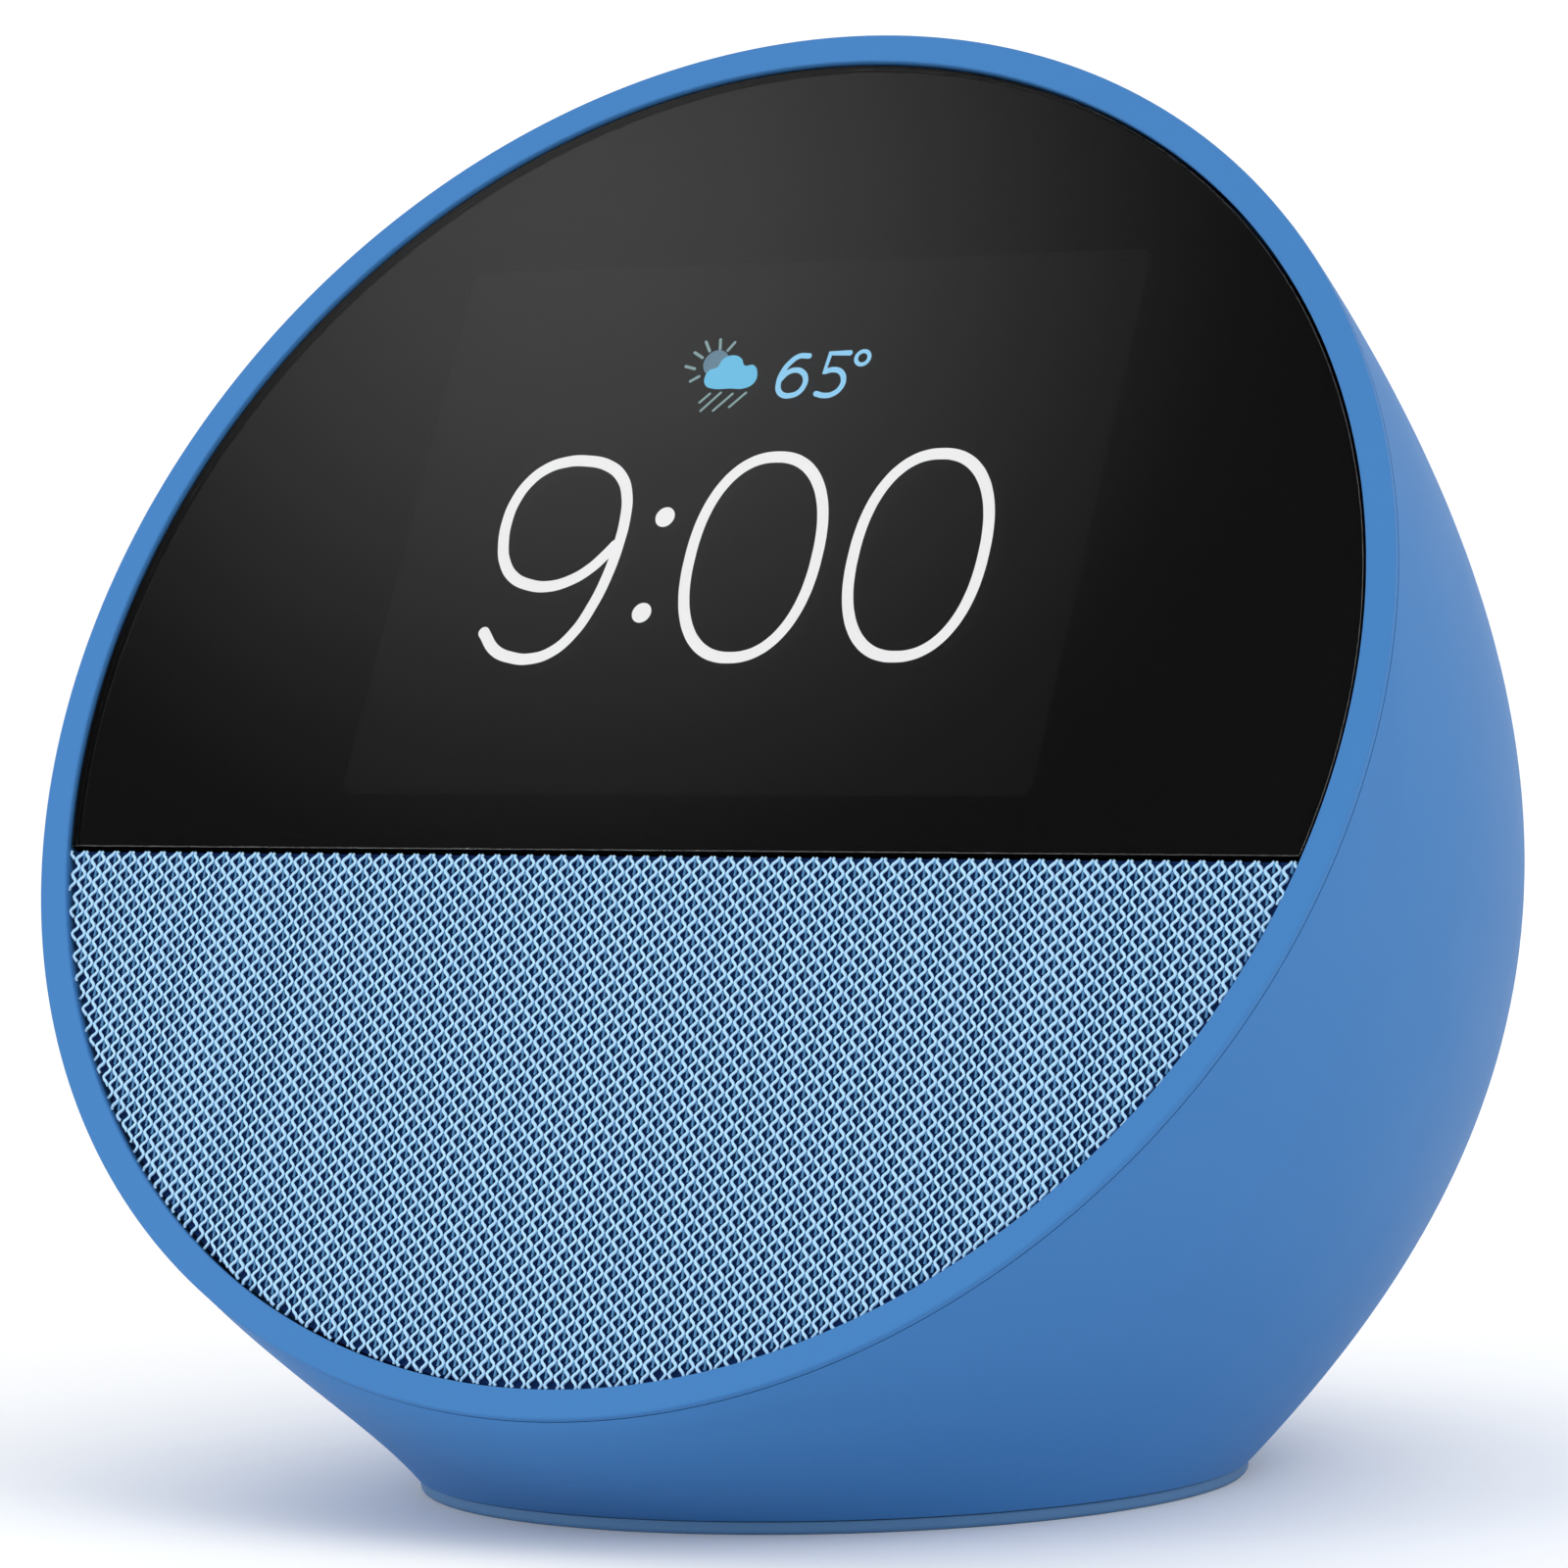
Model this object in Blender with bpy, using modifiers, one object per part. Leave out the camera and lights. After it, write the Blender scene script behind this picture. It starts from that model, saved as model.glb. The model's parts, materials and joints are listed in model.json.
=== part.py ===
"""A round-faced smart display: a tilted circular front on a domed plastic body with a flat foot.

Everything is in metres. The origin is the centre of the foot's underside, +Z is up and the
front faces -Y. Face parts are built in the face frame, whose origin is the centre of the
bezel's front plane: X to the right, Y up the tilted face and Z out of it, so that a depth
behind the face is a negative Z.
"""

import math

import bmesh
import bpy
from mathutils import Matrix, Vector

MM = 0.001
GAP = 0.3 * MM  # between pieces that touch

# The face: a circle tilted back, whose centre stands above and in front of the foot.
FACE_TILT = math.radians(28.0)
FACE_CENTRE = Vector((0.0, -18.15, 59.8)) * MM
FACE_RADIUS = 56.5 * MM
FACE_OPENING = 54.2 * MM  # inside the bezel ring
DIVIDER_Y = -12.03 * MM  # the straight joint between glass and fabric

# Depths behind the face plane.
FRONT_RECESS = 0.3 * MM
LEDGE_DEPTH = 3.4 * MM
BEZEL_DEPTH = 4.8 * MM
CHASSIS_FRONT = 5.6 * MM
CHASSIS_BACK = 7.4 * MM

# The body is swept from the rim circle to the foot circle past a middle ellipse.
RIM_DEPTH = 0.7 * MM
MIDDLE_CENTRE = Vector((0.0, 27.25, 28.5)) * MM
MIDDLE_HALF_WIDTH = 54.3 * MM
MIDDLE_HALF_DEPTH = 73.9 * MM
MIDDLE_TILT = math.radians(16.0)
MIDDLE_WEIGHT = 0.93
BODY_BOTTOM = 1.05 * MM
BODY_BOTTOM_RADIUS = 31.75 * MM
WALL = 2.2 * MM
AROUND = 54  # facets round the body
ALONG = 12  # facets from rim to foot

# Display stack.
GLASS_THICKNESS = 1.0 * MM
SCREEN_CENTRE = Vector((0.0, 14.7)) * MM
SCREEN_SIZE = Vector((66.0, 47.0)) * MM

# Loudspeaker, facing out through the fabric.
SPEAKER_CENTRE = Vector((0.0, -31.5, 0.0)) * MM
SPEAKER_TRAVEL = 1.0 * MM
SPEAKER_SCREW_CIRCLE = 21.4 * MM
SPEAKER_SCREW_ANGLES = (90.0, 210.0, 330.0)

# Electronics behind the chassis.
BOARD_FRONT = 14.0 * MM
BOARD_BACK = 15.2 * MM
BOARD_HALF_WIDTH = 30.0 * MM
BOARD_LOW = -5.0 * MM
BOARD_HIGH = 37.5 * MM
BOARD_POSTS = [Vector((-26.5, 33.5)) * MM, Vector((26.5, 33.5)) * MM, Vector((22.0, -1.5)) * MM]
CHASSIS_SCREWS = [Vector((x, y)) * MM for x in (-41.6, 41.6) for y in (-24.0, 24.0)]

# Buttons, in a row across the top behind the bezel.
BUTTON_SWEEP = 0.1  # how far down the body's sweep the row lies
BUTTON_PITCH = 12.5 * MM
BUTTON_RADIUS = 4.0 * MM
BUTTON_TRAVEL = 0.5 * MM
BUTTON_NAMES = ("volume_down", "mic_mute", "volume_up")
KEYBOARD_TOP = -9.7 * MM
KEYBOARD_PINS = (-20.0 * MM, 20.0 * MM)

# Power inlet, low at the back.
INLET_HEIGHT = 19.0 * MM
INLET_FACE = 50.4 * MM  # where the body's skin crosses the inlet's axis
INLET_RADIUS = 5.5 * MM
INLET_DEPTH = 7.0 * MM
INLET_FLOOR = 1.4 * MM
INLET_SLOPE = 0.72  # how far the skin runs back for each unit of height there

# Base.
FOOT_TOP = 0.75 * MM
FOOT_RADIUS = 31.4 * MM
BASE_BOTTOM = 1.35 * MM
BASE_TOP = 4.35 * MM
BASE_RADIUS = 29.0 * MM
BASE_SCREW_CIRCLE = 24.5 * MM
BASE_SCREW_ANGLES = (90.0, 210.0, 330.0)

ALIGN_Y = Matrix.Rotation(math.radians(-90.0), 4, "X")  # turns +Z to +Y


# ---------------------------------------------------------------- helpers


def start_empty():
    """Remove whatever the scene holds, and make the two collections."""
    for ob in list(bpy.data.objects):
        bpy.data.objects.remove(ob, do_unlink=True)
    made = []
    for name in ("smart_display", "cutters"):
        collection = bpy.data.collections.new(name)
        bpy.context.scene.collection.children.link(collection)
        made.append(collection)
    return made


PARTS, CUTTERS = start_empty()


def finish(name, colour, roughness, metallic=0.0):
    """A plain Principled material."""
    material = bpy.data.materials.new(name)
    material.use_nodes = True
    shader = material.node_tree.nodes["Principled BSDF"]
    shader.inputs["Base Color"].default_value = (*colour, 1.0)
    shader.inputs["Roughness"].default_value = roughness
    shader.inputs["Metallic"].default_value = metallic
    material.diffuse_color = (*colour, 1.0)
    return material


BLUE_PLASTIC = finish("blue_plastic", (0.09, 0.25, 0.52), 0.45)
BLUE_FABRIC = finish("blue_fabric", (0.12, 0.32, 0.55), 0.9)
BLACK_GLASS = finish("black_glass", (0.006, 0.006, 0.007), 0.05)
BLACK_PLASTIC = finish("black_plastic", (0.02, 0.02, 0.022), 0.5)
BLUE_RUBBER = finish("blue_rubber", (0.09, 0.23, 0.46), 0.7)
BLACK_RUBBER = finish("black_rubber", (0.015, 0.015, 0.015), 0.8)
LCD_BLACK = finish("lcd_black", (0.01, 0.01, 0.012), 0.3)
WHITE_PLASTIC = finish("white_plastic", (0.75, 0.75, 0.72), 0.4)
SHEET_STEEL = finish("sheet_steel", (0.55, 0.56, 0.57), 0.35, 1.0)
ZINC_STEEL = finish("zinc_steel", (0.6, 0.6, 0.58), 0.4, 1.0)
ALUMINIUM = finish("aluminium", (0.75, 0.76, 0.77), 0.4, 1.0)
FERRITE = finish("ferrite", (0.05, 0.05, 0.052), 0.6)
PAPER_CONE = finish("paper_cone", (0.03, 0.03, 0.03), 0.85)
CLOTH_SPIDER = finish("cloth_spider", (0.45, 0.33, 0.12), 0.9)
COPPER = finish("copper", (0.7, 0.32, 0.16), 0.35, 1.0)
CIRCUIT_BOARD = finish("circuit_board", (0.01, 0.11, 0.05), 0.45)
POLYIMIDE = finish("polyimide", (0.5, 0.2, 0.03), 0.4)


def frame(name, matrix, parent=None):
    """An empty that other objects are parented to."""
    empty = bpy.data.objects.new(name, None)
    empty.parent = parent
    empty.matrix_local = matrix
    PARTS.objects.link(empty)
    return empty


def add(name, data, parent, material=None, collection=None):
    """Link an object; one without a material is a cutter."""
    ob = bpy.data.objects.new(name, data)
    ob.parent = parent
    if material:
        data.materials.append(material)
    else:
        ob.hide_render = True
        ob.display_type = "WIRE"
    (collection or PARTS).objects.link(ob)
    return ob


def add_bmesh(name, bm, parent, material=None, collection=None):
    mesh = bpy.data.meshes.new(name)
    bmesh.ops.remove_doubles(bm, verts=bm.verts, dist=1e-7)
    bm.to_mesh(mesh)
    bm.free()
    return add(name, mesh, parent, material, collection)


def box(name, low, high, parent, material=None, collection=None):
    low, high = Vector(low), Vector(high)
    size = Matrix.Diagonal((*(high - low), 1.0))
    bm = bmesh.new()
    bmesh.ops.create_cube(bm, size=1.0, matrix=Matrix.Translation((low + high) / 2) @ size)
    return add_bmesh(name, bm, parent, material, collection)


def cylinder(name, radius, low, high, parent, material=None, collection=None, at=(0, 0), sides=16):
    """A cylinder along Z between two heights."""
    bm = bmesh.new()
    middle = Matrix.Translation((at[0], at[1], (low + high) / 2))
    bmesh.ops.create_cone(
        bm, cap_ends=True, segments=sides, radius1=radius, radius2=radius, depth=high - low, matrix=middle
    )
    return add_bmesh(name, bm, parent, material, collection)


def turned(name, profile, parent, material=None, collection=None, at=(0, 0), sides=24):
    """A profile of (radius, z) turned about Z.

    The points run down the outer side from top to bottom, then back up the inner side. A
    profile that starts and ends on the axis stays open there; any other is closed.
    """
    points = [Vector((radius, 0.0, z)) for radius, z in profile]
    solid = profile[0][0] == 0.0 and profile[-1][0] == 0.0
    bm = bmesh.new()
    verts = [bm.verts.new(point) for point in points]
    for first, second in zip(verts, verts[1:]):
        bm.edges.new((first, second))
    if not solid:
        bm.edges.new((verts[-1], verts[0]))
    ob = add_bmesh(name, bm, parent, material, collection)
    ob.location = (at[0], at[1], 0.0)
    screw = ob.modifiers.new("turn", "SCREW")
    screw.steps = sides
    screw.render_steps = sides
    screw.use_merge_vertices = True
    screw.merge_threshold = 1e-6
    screw.use_smooth_shade = True
    return ob


def circle(radius, at=(0.0, 0.0), count=12):
    steps = [2 * math.pi * i / count for i in range(count)]
    return [(at[0] + radius * math.cos(a), at[1] + radius * math.sin(a)) for a in steps]


def rectangle(low, high):
    return [(low[0], low[1]), (high[0], low[1]), (high[0], high[1]), (low[0], high[1])]


def half_moon(radius, chord, upper, count=40):
    """The part of a disc above or below a level chord, anticlockwise."""
    start = math.asin(chord / radius)
    end = math.pi - start
    if not upper:
        start, end = end, start + 2 * math.pi
    steps = [start + (end - start) * i / count for i in range(count + 1)]
    return [(radius * math.cos(a), radius * math.sin(a)) for a in steps]


def flat(name, outlines, low, high, parent, material):
    """A flat piece between two heights; outlines after the first are holes in it."""
    curve = bpy.data.curves.new(name, "CURVE")
    curve.dimensions = "2D"
    curve.fill_mode = "BOTH"
    curve.extrude = (high - low) / 2
    for outline in outlines:
        spline = curve.splines.new("POLY")
        spline.points.add(len(outline) - 1)
        for point, (x, y) in zip(spline.points, outline):
            point.co = (x, y, 0.0, 1.0)
        spline.use_cyclic_u = True
    ob = add(name, curve, parent, material)
    ob.location.z = (low + high) / 2
    return ob


def as_mesh(ob):
    """Replace a curve object by a welded mesh object, so that it can be cut or joined."""
    bpy.context.view_layer.update()
    graph = bpy.context.evaluated_depsgraph_get()
    mesh = bpy.data.meshes.new_from_object(ob.evaluated_get(graph))
    bm = bmesh.new()
    bm.from_mesh(mesh)
    bmesh.ops.remove_doubles(bm, verts=bm.verts, dist=1e-6)
    bm.to_mesh(mesh)
    bm.free()
    name, parent, place = ob.name, ob.parent, ob.matrix_world.copy()
    bpy.data.objects.remove(ob, do_unlink=True)
    made = bpy.data.objects.new(name, mesh)
    made.parent = parent
    PARTS.objects.link(made)
    made.matrix_world = place
    return made


def open_tray(name, outline, floor, rim, thickness, parent, material):
    """A thin tray: a floor and walls, open at the rim, with its thickness on the inside."""
    bm = bmesh.new()
    base = bm.faces.new([bm.verts.new((x, y, floor)) for x, y in outline])
    walls = bmesh.ops.extrude_edge_only(bm, edges=list(base.edges))
    moved = [item for item in walls["geom"] if isinstance(item, bmesh.types.BMVert)]
    bmesh.ops.translate(bm, verts=moved, vec=(0.0, 0.0, rim - floor))
    bmesh.ops.recalc_face_normals(bm, faces=bm.faces)
    base.normal_update()
    if base.normal.z * (floor - rim) < 0:
        bmesh.ops.reverse_faces(bm, faces=bm.faces)
    ob = add_bmesh(name, bm, parent, material)
    solid = ob.modifiers.new("wall", "SOLIDIFY")
    solid.thickness = thickness
    solid.offset = -1.0
    solid.use_even_offset = True
    return ob


def tube(name, points, radius, parent, material, smooth_steps=3):
    """An insulated lead along a smooth path through the points."""
    path = smooth_path(points, smooth_steps)
    curve = bpy.data.curves.new(name, "CURVE")
    curve.dimensions = "3D"
    curve.bevel_depth = radius
    curve.bevel_resolution = 2
    curve.use_fill_caps = True
    spline = curve.splines.new("POLY")
    spline.points.add(len(path) - 1)
    for point, place in zip(spline.points, path):
        point.co = (*place, 1.0)
    return add(name, curve, parent, material)


def smooth_path(points, steps):
    """Points on a Catmull-Rom curve through the given ones."""
    points = [Vector(point) for point in points]
    ends = [points[0] * 2 - points[1], *points, points[-1] * 2 - points[-2]]
    path = []
    for a, b, c, d in zip(ends, ends[1:], ends[2:], ends[3:]):
        for i in range(steps):
            t = i / steps
            square = (a * 2 - b * 5 + c * 4 - d) * t**2
            cube = (b * 3 - a - c * 3 + d) * t**3
            path.append((b * 2 + (c - a) * t + square + cube) / 2)
    return path + [points[-1]]


def ribbon(name, points, width, thickness, parent, material):
    """A flat flex cable: a path of (y, z) points, the same width all along X."""
    path = [Vector(point).to_3d() for point in points]
    path = smooth_path(path, 3)
    bm = bmesh.new()
    rows = []
    for point in path:
        rows.append([bm.verts.new((x, point.x, point.y)) for x in (-width / 2, width / 2)])
    for (a, b), (c, d) in zip(rows, rows[1:]):
        bm.faces.new((a, b, d, c))
    ob = add_bmesh(name, bm, parent, material)
    solid = ob.modifiers.new("wall", "SOLIDIFY")
    solid.thickness = thickness
    solid.offset = 0.0
    return ob


def boolean(ob, operation, operand):
    """Join or cut with one object, or with every object of a collection."""
    modifier = ob.modifiers.new(operation.lower(), "BOOLEAN")
    modifier.operation = operation
    modifier.solver = "EXACT"
    if isinstance(operand, bpy.types.Collection):
        modifier.operand_type = "COLLECTION"
        modifier.collection = operand
    else:
        modifier.object = operand


def tools(name):
    """A collection of solids that are joined to, or cut from, one piece."""
    collection = bpy.data.collections.new(name)
    CUTTERS.children.link(collection)
    return collection


def screw(name, head, seat, tip, parent, at, head_radius=1.8 * MM, shank_radius=0.8 * MM):
    """A pan-head screw along Z, from the head's top to the shank's tip."""
    profile = [(0.0, head), (head_radius, head), (head_radius, seat), (shank_radius, seat)]
    profile += [(shank_radius, tip), (0.0, tip)]
    if tip > head:
        profile.reverse()
    return turned(name, profile, parent, ZINC_STEEL, at=at, sides=8)


def boss(name, radius, bore, top, bottom, bore_end, parent, collection, at=(0, 0), sides=10):
    """A round screw boss whose blind bore opens at the top."""
    profile = [(0.0, bore_end), (bore, bore_end), (bore, top)]
    profile += [(radius, top), (radius, bottom), (0.0, bottom)]
    if bottom > top:
        profile.reverse()
    return turned(name, profile, parent, None, collection, at, sides)


# ---------------------------------------------------------------- frames


def face_matrix():
    turn = Matrix.Rotation(math.radians(90.0) - FACE_TILT, 4, "X")
    return Matrix.Translation(FACE_CENTRE) @ turn


def body_point(sweep, angle):
    """A point on the body's skin: sweep 0 at the rim, 1 at the foot; angle 0 at the top and rear."""
    right = Vector((math.sin(angle), 0.0, 0.0))
    rim = face_matrix() @ Vector(
        (FACE_RADIUS * math.sin(angle), FACE_RADIUS * math.cos(angle), -RIM_DEPTH)
    )
    slope = Vector((0.0, math.cos(MIDDLE_TILT), math.sin(MIDDLE_TILT))) * math.cos(angle)
    middle = MIDDLE_CENTRE + right * MIDDLE_HALF_WIDTH + slope * MIDDLE_HALF_DEPTH
    level = Vector((math.sin(angle), math.cos(angle), 0.0))
    foot = Vector((0.0, 0.0, BODY_BOTTOM)) + level * BODY_BOTTOM_RADIUS
    weights = ((1 - sweep) ** 2, 2 * MIDDLE_WEIGHT * sweep * (1 - sweep), sweep**2)
    return (rim * weights[0] + middle * weights[1] + foot * weights[2]) / sum(weights)


def button_matrix():
    """The button row's frame: on the skin at the top, X to the right and Z outward."""
    place = body_point(BUTTON_SWEEP, 0.0)
    back = (body_point(BUTTON_SWEEP + 0.001, 0.0) - place).normalized()
    right = Vector((1.0, 0.0, 0.0))
    out = right.cross(back)
    turn = Matrix((right, back, out)).transposed().to_4x4()
    return Matrix.Translation(place) @ turn


WORLD = None
FACE = frame("face_frame", face_matrix())
SPEAKER = frame("speaker_frame", Matrix.Translation(SPEAKER_CENTRE), FACE)
KEYS = frame("button_frame", button_matrix())
INLET = frame("inlet_frame", Matrix.Translation((0.0, INLET_FACE, INLET_HEIGHT)) @ ALIGN_Y)


# ---------------------------------------------------------------- front


def make_bezel():
    """The plastic ring round the front, with a ledge that carries the glass and the grille."""
    edge = 0.4 * MM
    rebate = 55.0 * MM
    ledge = 52.2 * MM
    profile = [
        (FACE_RADIUS - 0.2 * MM, 0.0),
        (FACE_RADIUS, -0.15 * MM),
        (FACE_RADIUS, -edge),
        (rebate, -edge),
        (rebate, -BEZEL_DEPTH),
        (ledge, -BEZEL_DEPTH),
        (ledge, -LEDGE_DEPTH),
        (FACE_OPENING, -LEDGE_DEPTH),
        (FACE_OPENING, -0.15 * MM),
        (FACE_OPENING + 0.15 * MM, 0.0),
    ]
    return turned("bezel_ring", profile, FACE, BLUE_PLASTIC, sides=60)


def make_display():
    """Cover glass, the black carrier behind it, and the screen in the carrier's window."""
    edge = FACE_OPENING - GAP
    chord = DIVIDER_Y + GAP / 2
    glass_back = FRONT_RECESS + GLASS_THICKNESS
    flat("cover_glass", [half_moon(edge, chord, True)], -glass_back, -FRONT_RECESS, FACE, BLACK_GLASS)

    carrier_front = glass_back + GAP
    carrier_back = LEDGE_DEPTH - GAP
    half = SCREEN_SIZE / 2 + Vector((GAP, GAP))
    window = rectangle(SCREEN_CENTRE - half, SCREEN_CENTRE + half)
    moon = half_moon(edge, chord, True)
    flat("display_carrier", [moon, window], -carrier_back, -carrier_front, FACE, BLACK_PLASTIC)

    half = SCREEN_SIZE / 2
    low, high = SCREEN_CENTRE - half, SCREEN_CENTRE + half
    cell_back = carrier_front + 1.2 * MM
    box("lcd_cell", (*low, -cell_back), (*high, -carrier_front), FACE, LCD_BLACK)

    inset = Vector((0.5, 0.5)) * MM
    light_front = carrier_back
    light_back = light_front + 1.0 * MM
    box("backlight", (*(low + inset), -light_back), (*(high - inset), -light_front), FACE, WHITE_PLASTIC)

    rim = LEDGE_DEPTH
    floor = light_back + GAP + 0.4 * MM
    outline = rectangle(low - inset * 0.4, high + inset * 0.4)
    open_tray("lcd_frame", outline, -floor, -rim, 0.4 * MM, FACE, SHEET_STEEL)


def make_grille():
    """The woven cloth, wrapped over a slotted plastic plate."""
    edge = FACE_OPENING - GAP
    chord = DIVIDER_Y - GAP / 2
    cloth = 0.4 * MM
    back = LEDGE_DEPTH - GAP
    outline = half_moon(edge, chord, False)
    open_tray("grille_fabric", outline, -FRONT_RECESS, -back, cloth, FACE, BLUE_FABRIC)

    inset = cloth + GAP
    front = FRONT_RECESS + cloth + GAP
    slots = []
    reach = 18.5 * MM
    slot_half_height = 0.9 * MM
    for i in range(-4, 5):
        offset = i * 4.0 * MM
        half_length = math.sqrt(reach**2 - offset**2)
        middle = SPEAKER_CENTRE.y + offset
        low = (-half_length, middle - slot_half_height)
        high = (half_length, middle + slot_half_height)
        slots.append(rectangle(low, high))
    outline = half_moon(edge - inset, chord - inset, False)
    flat("grille_plate", [outline, *slots], -back, -front, FACE, BLACK_PLASTIC)


def make_chassis():
    """The plate that carries the board and the speaker, with its posts and screws."""
    radius = 53.0 * MM
    holes = [circle(19.0 * MM, SPEAKER_CENTRE, 24)]
    holes += [circle(1.4 * MM, place) for place in CHASSIS_SCREWS]
    for angle in SPEAKER_SCREW_ANGLES:
        turn = math.radians(angle)
        across = SPEAKER_SCREW_CIRCLE * math.cos(turn)
        up = SPEAKER_CENTRE.y + SPEAKER_SCREW_CIRCLE * math.sin(turn)
        holes.append(circle(1.1 * MM, (across, up), 8))
    holes.append(rectangle((-6.0 * MM, -6.9 * MM), (6.0 * MM, -5.1 * MM)))
    outlines = [circle(radius, count=48), *holes]
    plate = as_mesh(flat("front_chassis", outlines, -CHASSIS_BACK, -CHASSIS_FRONT, FACE, BLACK_PLASTIC))
    posts = tools("chassis_posts")
    post_end = BOARD_FRONT - GAP
    for i, place in enumerate(BOARD_POSTS):
        root = CHASSIS_BACK - 0.8 * MM
        name = f"board_post_{i + 1}"
        boss(name, 2.4 * MM, 1.1 * MM, -post_end, -root, -CHASSIS_BACK - 0.4 * MM, FACE, posts, place)
    boolean(plate, "UNION", posts)
    for i, place in enumerate(CHASSIS_SCREWS):
        seat = CHASSIS_FRONT - GAP
        name = f"chassis_screw_{i + 1}"
        screw(name, -seat + 1.1 * MM, -seat, -15.0 * MM, FACE, place, shank_radius=1.0 * MM)


# ---------------------------------------------------------------- speaker


def ring(name, inner, outer, front, back, parent, material, sides=24):
    """A flat ring between two depths."""
    profile = [(outer, -front), (outer, -back), (inner, -back), (inner, -front)]
    return turned(name, profile, parent, material, sides=sides)


def make_speaker():
    """A full-range driver: basket, motor, and the moving cone with its coil."""
    flange_front = CHASSIS_BACK + 1.3 * MM
    flange_back = flange_front + 1.0 * MM
    flange_radius = 23.0 * MM
    bolt_holes = []
    for angle in SPEAKER_SCREW_ANGLES:
        turn = math.radians(angle)
        bolt_holes.append(Vector((math.cos(turn), math.sin(turn))) * SPEAKER_SCREW_CIRCLE)

    gasket = [circle(flange_radius, count=24), circle(19.4 * MM, count=24)]
    gasket += [circle(1.2 * MM, place, 8) for place in bolt_holes]
    gasket_back = flange_front - GAP
    flat("speaker_gasket", gasket, -gasket_back, -CHASSIS_BACK - GAP, SPEAKER, BLACK_RUBBER)

    profile = [
        (flange_radius, -flange_front),
        (flange_radius, -flange_back),
        (19.6 * MM, -flange_back),
        (14.2 * MM, -14.2 * MM),
        (14.2 * MM, -15.5 * MM),
        (7.6 * MM, -15.5 * MM),
        (7.6 * MM, -14.9 * MM),
        (13.4 * MM, -14.9 * MM),
        (13.4 * MM, -14.1 * MM),
        (18.8 * MM, -flange_back + 0.2 * MM),
        (18.8 * MM, -flange_front),
    ]
    basket = turned("speaker_basket", profile, SPEAKER, SHEET_STEEL)
    holes = tools("basket_holes")
    for i, place in enumerate(bolt_holes):
        cylinder(f"basket_hole_{i + 1}", 1.2 * MM, -11 * MM, -8 * MM, SPEAKER, None, holes, place, 8)
    window = Vector((4.5, 25.0)) * MM
    for i in range(2):
        cutter = box(
            f"basket_window_{i + 1}",
            (-window.x, -window.y, -13.6 * MM),
            (window.x, window.y, -10.4 * MM),
            SPEAKER,
            None,
            holes,
        )
        cutter.rotation_euler.z = math.radians(45.0 + 90.0 * i)
    boolean(basket, "DIFFERENCE", holes)

    ring("speaker_top_plate", 7.3 * MM, 12.0 * MM, 15.8 * MM, 17.6 * MM, SPEAKER, SHEET_STEEL)
    ring("speaker_magnet", 8.6 * MM, 13.0 * MM, 17.9 * MM, 21.4 * MM, SPEAKER, FERRITE)
    yoke = [
        (0.0, -15.9 * MM),
        (5.7 * MM, -15.9 * MM),
        (5.7 * MM, -21.7 * MM),
        (12.0 * MM, -21.7 * MM),
        (12.0 * MM, -23.9 * MM),
        (0.0, -23.9 * MM),
    ]
    turned("speaker_yoke", yoke, SPEAKER, SHEET_STEEL)

    coil = [
        (6.45 * MM, -12.2 * MM),
        (6.45 * MM, -15.4 * MM),
        (6.9 * MM, -15.4 * MM),
        (6.9 * MM, -18.2 * MM),
        (6.15 * MM, -18.2 * MM),
        (6.15 * MM, -12.2 * MM),
    ]
    turned("voice_coil", coil, SPEAKER, COPPER)
    cone = [
        (15.4 * MM, -9.6 * MM),
        (15.4 * MM, -10.0 * MM),
        (6.8 * MM, -13.4 * MM),
        (6.8 * MM, -12.9 * MM),
    ]
    turned("speaker_cone", cone, SPEAKER, PAPER_CONE)
    cap_radius = 6.6 * MM
    cap_rise = 1.6 * MM
    skin = 0.3 * MM
    steps = [math.pi / 2 * i / 3 for i in range(4)]
    outer = [(cap_radius * math.sin(a), -11.9 * MM + cap_rise * math.cos(a)) for a in steps]
    under_radius = cap_radius - skin
    under_rise = cap_rise - skin
    inner = [(under_radius * math.sin(a), -11.9 * MM + under_rise * math.cos(a)) for a in steps]
    turned("dust_cap", outer + inner[::-1], SPEAKER, PAPER_CONE)

    roll_radius = 1.35 * MM
    roll_middle = 17.1 * MM
    steps = [math.pi * i / 4 for i in range(5)]
    roll_base = -9.4 * MM
    roll = []
    for radius in (roll_radius, roll_radius - 0.35 * MM):
        roll.append([(roll_middle + radius * math.cos(a), roll_base + radius * math.sin(a)) for a in steps])
    outside, inside = roll
    turned("speaker_surround", outside[::-1] + inside, SPEAKER, BLACK_RUBBER)
    ring("speaker_spider", 7.3 * MM, 13.0 * MM, 14.2 * MM, 14.5 * MM, SPEAKER, CLOTH_SPIDER)

    for i, place in enumerate(bolt_holes):
        seat = flange_back + GAP
        screw(f"speaker_screw_{i + 1}", -seat - 1.1 * MM, -seat, -6.2 * MM, SPEAKER, place, 1.6 * MM)


# ---------------------------------------------------------------- electronics


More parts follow.
